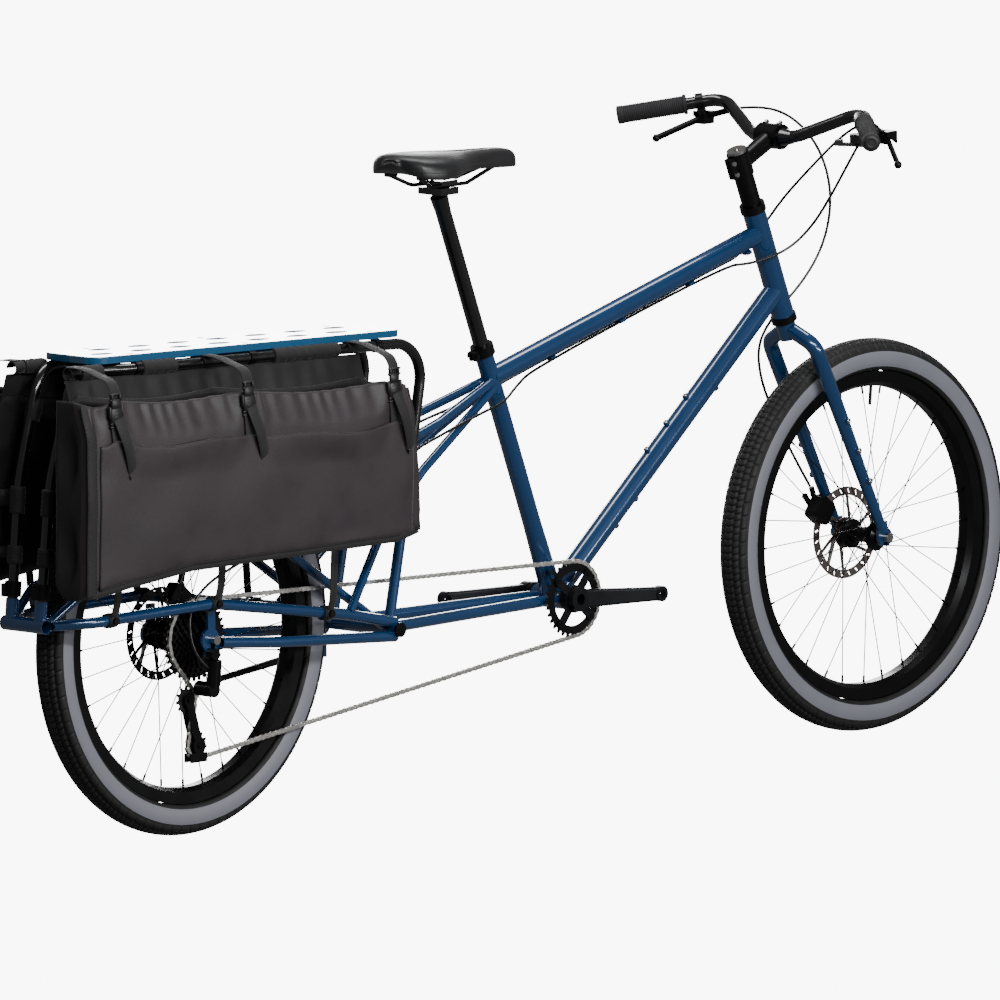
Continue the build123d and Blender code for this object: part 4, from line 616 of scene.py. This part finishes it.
def bag(name, side, node):
    """A sewn shell as a loft: each level is a rounded rectangle in plan, and the levels rise from a closed
    seam, through a rounded bottom, to the mouth, where the cloth turns in as a hem."""
    nx, ny = 150, 16
    across = np.linspace(0, 1, nx)
    depth = np.linspace(0, 1, ny + 2)[1:-1]
    fx = np.concatenate([across, np.ones(ny), across[::-1], np.zeros(ny)])
    fy = np.concatenate([np.ones(nx), depth[::-1], np.zeros(nx), depth])
    levels = np.concatenate([[0.0, 0.006, 0.02, 0.045, 0.08], np.linspace(0.12, 1.0, 52)])
    rings = []
    for v in levels:
        close = math.sqrt(max(0.0, 1 - (1 - min(v / 0.09, 1)) ** 2))
        front = np.interp(v, [0, 0.15, 1], [424, 432, 409])
        rear = np.interp(v, [0, 1], [-400, -396])
        x = rear + (front - rear) * fx
        x = x + np.where(fx < 0.5, 1, -1) * (1 - close) * 14 * (np.abs(fx - 0.5) * 2) ** 8
        corner = np.clip(np.minimum(fx, 1 - fx) * BAG_LONG / 16.0, 0, 1)
        round_in = (1 - np.sqrt(np.clip(1 - (1 - corner) ** 2, 0, 1))) * 15.0
        z = bag_bottom(x) + (bag_top(x) - bag_bottom(x)) * v
        outer = bag_face(x, z, side) - round_in
        inner = BAG_INNER_Y + round_in * 0.6 + 1.4 * ripple(x, z, 4.0)
        y = inner + (outer - inner) * fy
        ends = np.minimum(fy, 1 - fy) * 4 * (1 - corner)
        x = x + np.where(fx < 0.5, 1, -1) * ends * (6 + 5 * np.sin(z / 26.0))
        y = BAG_SEAM_Y + (y - BAG_SEAM_Y) * close
        rings.append(np.stack([x, side * y, z], 1))
    hem = rings[-1].copy()
    middle = hem.mean(0)
    for drop, inset in ((1.0, 2.5), (9.0, 3.5), (22.0, 3.0)):
        ring = hem.copy()
        ring[:, 1] += np.sign(middle[1] - ring[:, 1]) * inset
        ring[:, 0] += np.sign(middle[0] - ring[:, 0]) * inset * (np.abs(fx - 0.5) > 0.49)
        ring[:, 2] -= drop
        rings.append(ring)
    points = np.concatenate(rings)
    n = len(fx)
    faces = quads(len(rings), n, False, True)
    outer_face = ((fy[faces[:, 0] % n] > 0.97) & (fy[faces[:, 1] % n] > 0.97)).astype(int)
    pick = 1 - outer_face
    if side > 0:
        faces = faces[:, ::-1]
    made = piece(name, [(points, faces)], [pack_cloth, inner_cloth], "frame", [node], pick=pick)
    wall = made.modifiers.new("cloth", "SOLIDIFY")
    wall.thickness = 0.0014
    wall.offset = -1.0
    wall.material_offset = 0
    return made


def pocket(name, side):
    """The outside pocket: a panel on the outer face whose upper edge hangs open between the straps."""
    nu, nv = 130, 40
    u, v = np.meshgrid(np.linspace(0, 1, nu), np.linspace(0, 1, nv), indexing="ij")
    x = -368 + (400 + 368) * u
    low = bag_bottom(x) + 16
    top = bag_top(x) - 66 - 8 * np.sin(np.pi * np.clip((x + 368) / 768, 0, 1) * 3) ** 2
    z = low + (top - low) * v
    gape = 8.5 * step(0.72, 1.0, v) * np.abs(np.sin(np.pi * (x - STRAP_X[1]) / 341.0))
    edge = step(0, 0.03, u) * step(0, 0.03, 1 - u) * step(0, 0.05, v)
    y = bag_face(x, z, side) + 0.8 + (1.6 + gape + 0.8 * ripple(x, z, 3.1)) * edge
    points = np.stack([x, side * y, z], -1).reshape(-1, 3)
    faces = quads(nu, nv)
    if side < 0:
        faces = faces[:, ::-1]
    made = piece(name, [(points, faces)], [pack_cloth], "frame")
    wall = made.modifiers.new("cloth", "SOLIDIFY")
    wall.thickness = 0.0012
    wall.offset = 1.0
    return made


def bindings(name, side):
    """Folded tape sewn round the outer face's edge, and the rolled hem on the pocket's edge, with stitches."""
    parts = []
    z = np.linspace(458, 786, 40)
    x = np.full(40, -386.0)
    parts.append(carry(np.stack([x, side * (bag_face(x, z, side) + 0.2), z], 1), flat_profile(24, 2.0),
                       side=(1, 0, 0)))
    x = np.linspace(-384, 418, 80)
    z = bag_bottom(x) + 11
    parts.append(carry(np.stack([x, side * (bag_face(x, z, side) - 2.5), z], 1), flat_profile(14, 2.0),
                       side=(0, 0, 1)))
    z = np.linspace(494, 740, 30)
    x = np.interp(z, [494, 740], [417, 398])
    parts.append(carry(np.stack([x, side * (bag_face(x, z, side) - 2.0), z], 1), flat_profile(14, 2.0),
                       side=(1, 0, 0)))
    for zz in np.arange(462, 782, 6.5):
        for dx in (-9.5, 9.5):
            spot = (-386 + dx, side * (float(bag_face(np.array(-386.0), np.array(zz), side)) + 1.3), zz)
            parts.append(block(spot, (0.9, 0.9, 3.8)))
    return piece(name, parts, [webbing_nylon], "frame")


def rail_flap(name, side):
    """The back wall's upper part: cloth drawn up from the mouth to the rail, and sleeves of it round the rail.

    Its rows run from 12 mm below the mouth to the rail, and its folds are a sine along the rail that fades
    toward the mouth.  Each sleeve is a lathe whose radius ripples along it.
    """
    nu, nv = 150, 14
    u, v = np.meshgrid(np.linspace(-352, 372, nu), np.linspace(0, 1, nv), indexing="ij")
    low, high = bag_top(u) - 12, rail_z(u) - RAIL_OD / 2 - 1
    fold = np.sin(u / 7.3 + 1.1 * np.sin(u / 41.0)) * 2.2 * np.sin(np.pi * v) ** 0.5
    y = 83.0 - (83.0 - RACK_Y - 2) * v + fold + 1.5 * ripple(u, v * 40, 5.2)
    z = low + (high - low) * v - 5.0 * np.sin(np.pi * v)
    points = np.stack([u, side * y, z], -1).reshape(-1, 3)
    faces = quads(nu, nv)
    parts = [(points, faces[:, ::-1] if side < 0 else faces)]
    made = piece(name, parts, [inner_cloth], "frame")
    wall = made.modifiers.new("cloth", "SOLIDIFY")
    wall.thickness = 0.0012
    wall.offset = 0.0
    sleeves = []
    for rear, front in RAIL_SLEEVES:
        start = np.array([rear, side * RACK_Y, rail_z(rear)])
        end = np.array([front, side * RACK_Y, rail_z(front)])
        long = np.linalg.norm(end - start)
        inside = RAIL_OD / 2 + 0.6
        outline = [(0, inside), (0.6, inside + 1.8)]
        outline += [(t, inside + 2.4 + 0.9 * math.sin(t * 0.45) * math.sin(t * 0.13 + 1))
                    for t in np.arange(3, long - 3, 3.0)]
        outline += [(long - 0.6, inside + 1.8), (long, inside)]
        sleeves.append(lathe(start, end, outline, 22))
    piece(name + "_sleeves", sleeves, [inner_cloth], "frame")


def strap(side, x):
    """Webbing round the rail and out to the buckle, then down the bag, with its loose end looped forward."""
    y0, z0 = side * RACK_Y, rail_z(x)
    turn = np.radians(np.linspace(-150, 95, 22))
    r = RAIL_OD / 2 + 1.4
    wrap = np.stack([np.full(22, x), y0 + side * r * np.sin(turn), z0 + r * np.cos(turn)], 1)
    top = bag_top(np.array(float(x)))
    face = side * float(bag_face(np.array(float(x)), np.array(top - 6.0), side))
    over = smooth_line([(x, wrap[11][1], wrap[11][2] + 1.8), (x, side * 96, z0 + 10.5), (x, side * 128, z0 + 3),
                        (x, side * 156, z0 - 6), (x, face + side * 6, z0 - 22), (x, face + side * 5, z0 - 38)], 7)
    low = z0 - 82
    low_face = [side * float(bag_face(np.array(float(x)), np.array(zz), side)) for zz in (low, low - 30)]
    fixed = smooth_line([(x, face + side * 5.5, z0 - 66), (x + 1, low_face[0] + side * 4, low),
                         (x + 2, low_face[1] + side * 3.4, low - 26), (x + 3, low_face[1] + side * 3, low - 54)], 6)
    tail = smooth_line([(x + 1, face + side * 10, z0 - 62), (x + 6, face + side * 17, z0 - 84),
                        (x + 16, face + side * 21, z0 - 112), (x + 27, face + side * 18, z0 - 140),
                        (x + 35, face + side * 13, z0 - 160), (x + 36, face + side * 9, z0 - 168),
                        (x + 28, face + side * 7.6, z0 - 158), (x + 18, face + side * 7.6, z0 - 136),
                        (x + 10, face + side * 6.6, z0 - 118)], 7)
    tape = flat_profile(24, 1.6)
    parts = [carry(line, tape, side=(1, 0, 0.001)) for line in (wrap, over, fixed)]
    parts.append(carry(tail, flat_profile(22, 1.6), side=(0.95, 0, 0.32)))
    buckle = []
    out = face + side * 8.5
    buckle.append(block((x, out, z0 - 62), (27, 8.5, 26), soft=0.45))
    buckle.append(block((x, out, z0 - 43), (22, 6.5, 16), soft=0.45))
    for dx in (-1, 1):
        buckle.append(block((x + dx * 14.6, out, z0 - 57), (5.2, 6.2, 21), soft=0.5))
        buckle.append(block((x + dx * 9.5, out, z0 - 31), (4.5, 5.5, 12), soft=0.45))
    for dz in (-26, -35.5, -76, -82):
        buckle.append(block((x, out, z0 + dz), (29, 5.0, 3.4), soft=0.5))
    for k in range(3):
        buckle.append(block((x, out + side * 4.2, z0 - 55 - 5 * k), (15, 1.0, 1.6), soft=0.4))
    return parts, buckle


for side, word in ((-1, "right"), (1, "left")):
    bag(f"{word}_bag_cloth", side, f"{word}_bag")
    pocket(f"{word}_bag_pocket", side)
    bindings(f"{word}_bag_binding", side)
    rail_flap(f"{word}_rail_flap", side)
tapes, buckles = [], []
for side in (-1, 1):
    for x in STRAP_X:
        tape_parts, buckle_parts = strap(side, x)
        tapes += tape_parts
        buckles += buckle_parts
piece("bag_webbing", tapes, [webbing_nylon], "frame", ["bag_straps"])
piece("bag_buckles", buckles, [black_nylon], "frame")

# ---- Cuffs on the uprights and ties on the side rails ------------------------------------------
LEG_FOOT, LEG_KNEE = np.array([-379.5, -34.0, 414.0]), np.array([-356.0, -37.0, 640.0])


def leg_at(z, side):
    """The middle of a hoop's rear leg at height z."""
    place = LEG_FOOT + (LEG_KNEE - LEG_FOOT) * (z - 414.0) / 226.0
    return place * np.array([1, -side, 1]) if side > 0 else place


def cuffs():
    """Padded wraps on the uprights: a swollen sleeve, and a band with its loose tab out to the bag."""
    parts = []
    for side in (-1, 1):
        for low, high in ((500, 532), (585, 632)):
            a, b = leg_at(low, side), leg_at(high, side)
            tall = high - low
            outline = [(0, 10.4), (1, 12.6), (4, 13.4)]
            outline += [(s, 13.2 + 0.7 * math.sin(s * 1.1)) for s in np.linspace(6, tall - 6, 12)]
            outline += [(tall - 4, 13.4), (tall - 1, 12.6), (tall, 10.4)]
            parts.append(lathe(a, b, outline, 22))
            middle = (a + b) / 2
            reach = smooth_line([middle + (8, side * 9, 0), middle + (10, side * 24, 1), middle + (2, side * 40, 0),
                                 (-386, side * 84, middle[2])], 6)
            parts.append(carry(reach, flat_profile(tall * 0.62, 1.8), side=(0, 0, 1)))
        a, b = np.array([-322.5, side * 38.8, 738.0]), np.array([-309.0, side * 39.5, 776.0])
        parts.append(lathe(a, b, [(0, 10.4), (1, 12.4), (4, 13.2), (20, 13.9), (36, 13.2), (39, 12.4), (40, 10.4)],
                           22))
        for x, z in ((-8, 405.4), (268, 360.3), (-262, 402.2)):
            slope = -0.13 if x > 100 else 0.01
            a, b = np.array([x - 11, side * 84, z - 11 * slope]), np.array([x + 11, side * 84, z + 11 * slope])
            parts.append(lathe(a, b, [(0, 10.2), (0.5, 12.6), (11, 13.2), (21.5, 12.6), (22, 10.2)], 20))
            parts.append(block((x, side * 93, z), (18, 9, 15), soft=0.35))
            riser = smooth_line([(x, side * 95, z + 8), (x + 1, side * 101, z + 30),
                                 (x + 1, side * 106, float(bag_bottom(np.array(float(x)))) + 4)], 6)
            parts.append(carry(riser, flat_profile(18, 1.6), side=(1, 0, 0)))
    return piece("rack_cuffs_and_ties", parts, [webbing_nylon], "frame", ["bag_mounts"])


cuffs()

# ---- Saddle ------------------------------------------------------------------------------------
saddle_stations = np.array([
    # x, half width, top, lower edge
    (527, 16, 1107, 1098), (531, 40, 1112, 1089), (542, 58, 1114, 1082), (560, 69, 1114.5, 1078),
    (590, 73, 1113.5, 1076), (620, 68, 1112, 1077), (650, 55, 1110, 1079), (680, 41, 1108, 1080),
    (710, 31, 1107, 1079), (740, 26, 1106, 1077), (770, 23, 1105, 1075), (800, 20, 1102, 1073),
    (817, 17, 1097, 1072), (826, 11, 1090, 1073), (829, 3, 1083, 1076)])


def saddle():
    """Crowned pad: each section is a flattened oval above the lower edge, with a channel down the middle.

    Sections come from smooth interpolation of the stations.  The underside is a shallow hollow.
    """
    x = np.concatenate([np.linspace(527, 545, 10), np.linspace(551, 810, 44), np.linspace(813, 829, 10)])
    half, top, low = (np.interp(x, saddle_stations[:, 0], saddle_stations[:, k]) for k in (1, 2, 3))
    kernel = np.array([1, 2, 3, 2, 1]) / 9
    for values in (half, top, low):
        values[2:-2] = np.convolve(values, kernel, "valid")
    rings = []
    for k in range(len(x)):
        angle = np.radians(np.linspace(-14, 194, 40))
        c, s = np.cos(angle), np.sin(angle)
        y = half[k] * np.sign(c) * np.abs(c) ** 0.72
        z = low[k] + (top[k] - low[k]) * np.where(s > 0, np.abs(s) ** 0.62, s * 0.5)
        channel = 3.4 * step(556, 600, x[k]) * (1 - step(745, 790, x[k])) * np.exp(-(y / 7.0) ** 2) * (s > 0.5)
        z = z - channel
        under = np.linspace(1, 0, 16)[1:-1] * 2 - 1
        uy = -y[0] * -under * 0.9
        uz = low[k] - (top[k] - low[k]) * 0.12 + 4.0 * (1 - under ** 2)
        ring_y, ring_z = np.concatenate([y, -uy]), np.concatenate([z, uz])
        rings.append(np.stack([np.full(len(ring_y), x[k]), ring_y, ring_z], 1))
    points = np.concatenate(rings)
    n = len(rings[0])
    faces = quads(len(x), n, False, True).tolist()
    faces += [list(range(n)), list(range(len(points) - 1, len(points) - n - 1, -1))]
    made = piece("saddle_pad", [(points, faces)], [saddle_skin], "saddle_post", ["saddle"])
    seam = []
    for side in (-1, 1):
        k = np.arange(6, len(x) - 8)
        line = np.stack([x[k], side * half[k] * 0.985, low[k] + (top[k] - low[k]) * 0.20], 1)
        seam.append(carry(line, round_profile(1.1, 6)))
    piece("saddle_piping", seam, [saddle_skin], "saddle_post")
    base = []
    for side in (-1, 1):
        base.append(block((775, side * 7, 1076), (26, 9, 8), soft=0.4))
        base.append(block((566, side * 38, 1076), (24, 14, 10), soft=0.4))
    piece("saddle_rail_seats", base, [black_nylon], "saddle_post")


saddle()

# ---- Grips -------------------------------------------------------------------------------------
BAR_END, BAR_CORNER = np.array([1410.0, -297.0, 1075.0]), np.array([1530.0, -160.0, 1104.0])
GRIP_LENGTH = 118.0


def grips():
    """Ribbed sleeves: the radius rises and falls in rings 3.4 mm apart, with a flange inside and a plug outside."""
    parts, plugs = [], []
    way = (BAR_END - BAR_CORNER) / np.linalg.norm(BAR_END - BAR_CORNER)
    for side in (-1, 1):
        swap = np.array([1, -side, 1])
        start, end = (BAR_END - way * GRIP_LENGTH) * swap, (BAR_END + way * 4) * swap
        outline = [(0, 11.3), (0.3, 17.0), (1.2, 17.5), (4.8, 17.5), (5.8, 17.0), (6.6, 15.2)]
        for s in np.arange(8.4, GRIP_LENGTH - 8, 3.4):
            outline += [(s - 0.9, 14.9), (s - 0.5, 15.8), (s + 0.9, 15.8), (s + 1.3, 14.9)]
        outline += [(GRIP_LENGTH - 7, 15.7), (GRIP_LENGTH + 1, 16.0), (GRIP_LENGTH + 3.2, 15.3),
                    (GRIP_LENGTH + 3.9, 13.2)]
        parts.append(lathe(start, end, outline, 36))
        plug_start = (BAR_END + way * 3.0) * swap
        plugs.append(lathe(plug_start, plug_start + way * swap,
                           [(0, 13.3), (1.0, 13.0), (1.0, 6.0), (0.2, 5.0)], 28))
    piece("grip_sleeves", parts, [grip_rubber], "steered", ["grips"])
    piece("grip_plugs", plugs, [black_nylon], "steered")


grips()

# ---- Bolts in the bosses -----------------------------------------------------------------------
DOWN_A, DOWN_B = np.array([920.0, 0, 314.0]), np.array([1484.0, 0, 790.0])


def button_head(foot, way, radius=4.4, tall=2.4):
    """A domed bolt head with a hexagon socket: a lathe outline that falls into the socket."""
    foot, way = np.asarray(foot, float), np.asarray(way, float)
    return lathe(foot, foot + way, [(0, radius), (tall * 0.35, radius), (tall * 0.8, radius * 0.75),
                                   (tall, radius * 0.5), (tall * 0.4, radius * 0.42)], 16)


def boss_bolts():
    """A button head in each boss of the down tube and of the fork blades."""
    along = (DOWN_B - DOWN_A) / np.linalg.norm(DOWN_B - DOWN_A)
    normal = np.array([-along[2], 0, along[0]])
    heads = [button_head(DOWN_A + along * s + normal * lift * 24.1, normal * lift)
             for s, lift in ((330, 1), (394, 1), (458, 1), (190, -1), (254, -1), (520, -1))]
    piece("frame_boss_bolts", heads, [bright_steel], "frame")
    heads = []
    for side in (-1, 1):
        for z in (555.0, 500.0, 445.0):
            x = 1524 + (692 - z) * (1690 - 1524) / (692 - 357)
            heads.append(button_head((x, side * 70.0, z), (0, side, 0)))
    piece("fork_boss_bolts", heads, [bright_steel], "steered")


boss_bolts()

# ---- Air and lamps -----------------------------------------------------------------------------
AIR_SEEN, AIR_LIGHT = 9.0, 0.17
world = bpy.data.worlds.new("studio_air")
bpy.context.scene.world = world
world.use_nodes = True
air = world.node_tree
ray = add(air, "ShaderNodeLightPath")
brightness = add(air, "ShaderNodeMapRange", Value=ray.outputs["Is Camera Ray"], To_Min=AIR_LIGHT, To_Max=AIR_SEEN)
air.nodes["Background"].inputs["Color"].default_value = (1.0, 1.0, 1.0, 1.0)
air.links.new(brightness.outputs["Result"], air.nodes["Background"].inputs["Strength"])


def lamp(name, place, aim, size, power):
    """A soft box: a rectangular lamp that the camera doesn't see."""
    data = bpy.data.lights.new(name, "AREA")
    data.shape = "RECTANGLE"
    data.size, data.size_y = size
    data.energy = power
    made = bpy.data.objects.new(name, data)
    made.location = place
    made.rotation_mode = "QUATERNION"
    made.rotation_quaternion = (Vector(aim) - Vector(place)).to_track_quat("-Z", "Y")
    made.visible_camera = False
    bpy.context.scene.collection.objects.link(made)


lamp("key_softbox", (-1.4, -3.4, 2.6), (0.0, 0.0, 0.5), (3.4, 0.32), 150)
lamp("low_softbox", (0.6, -3.8, 1.1), (0.0, 0.0, 0.6), (3.0, 0.22), 70)
lamp("top_softbox", (0.2, 0.5, 3.6), (0.0, 0.0, 0.5), (3.6, 0.8), 85)
lamp("back_softbox", (2.9, 3.6, 1.55), (-0.8, 0.0, 0.83), (3.6, 1.0), 150)
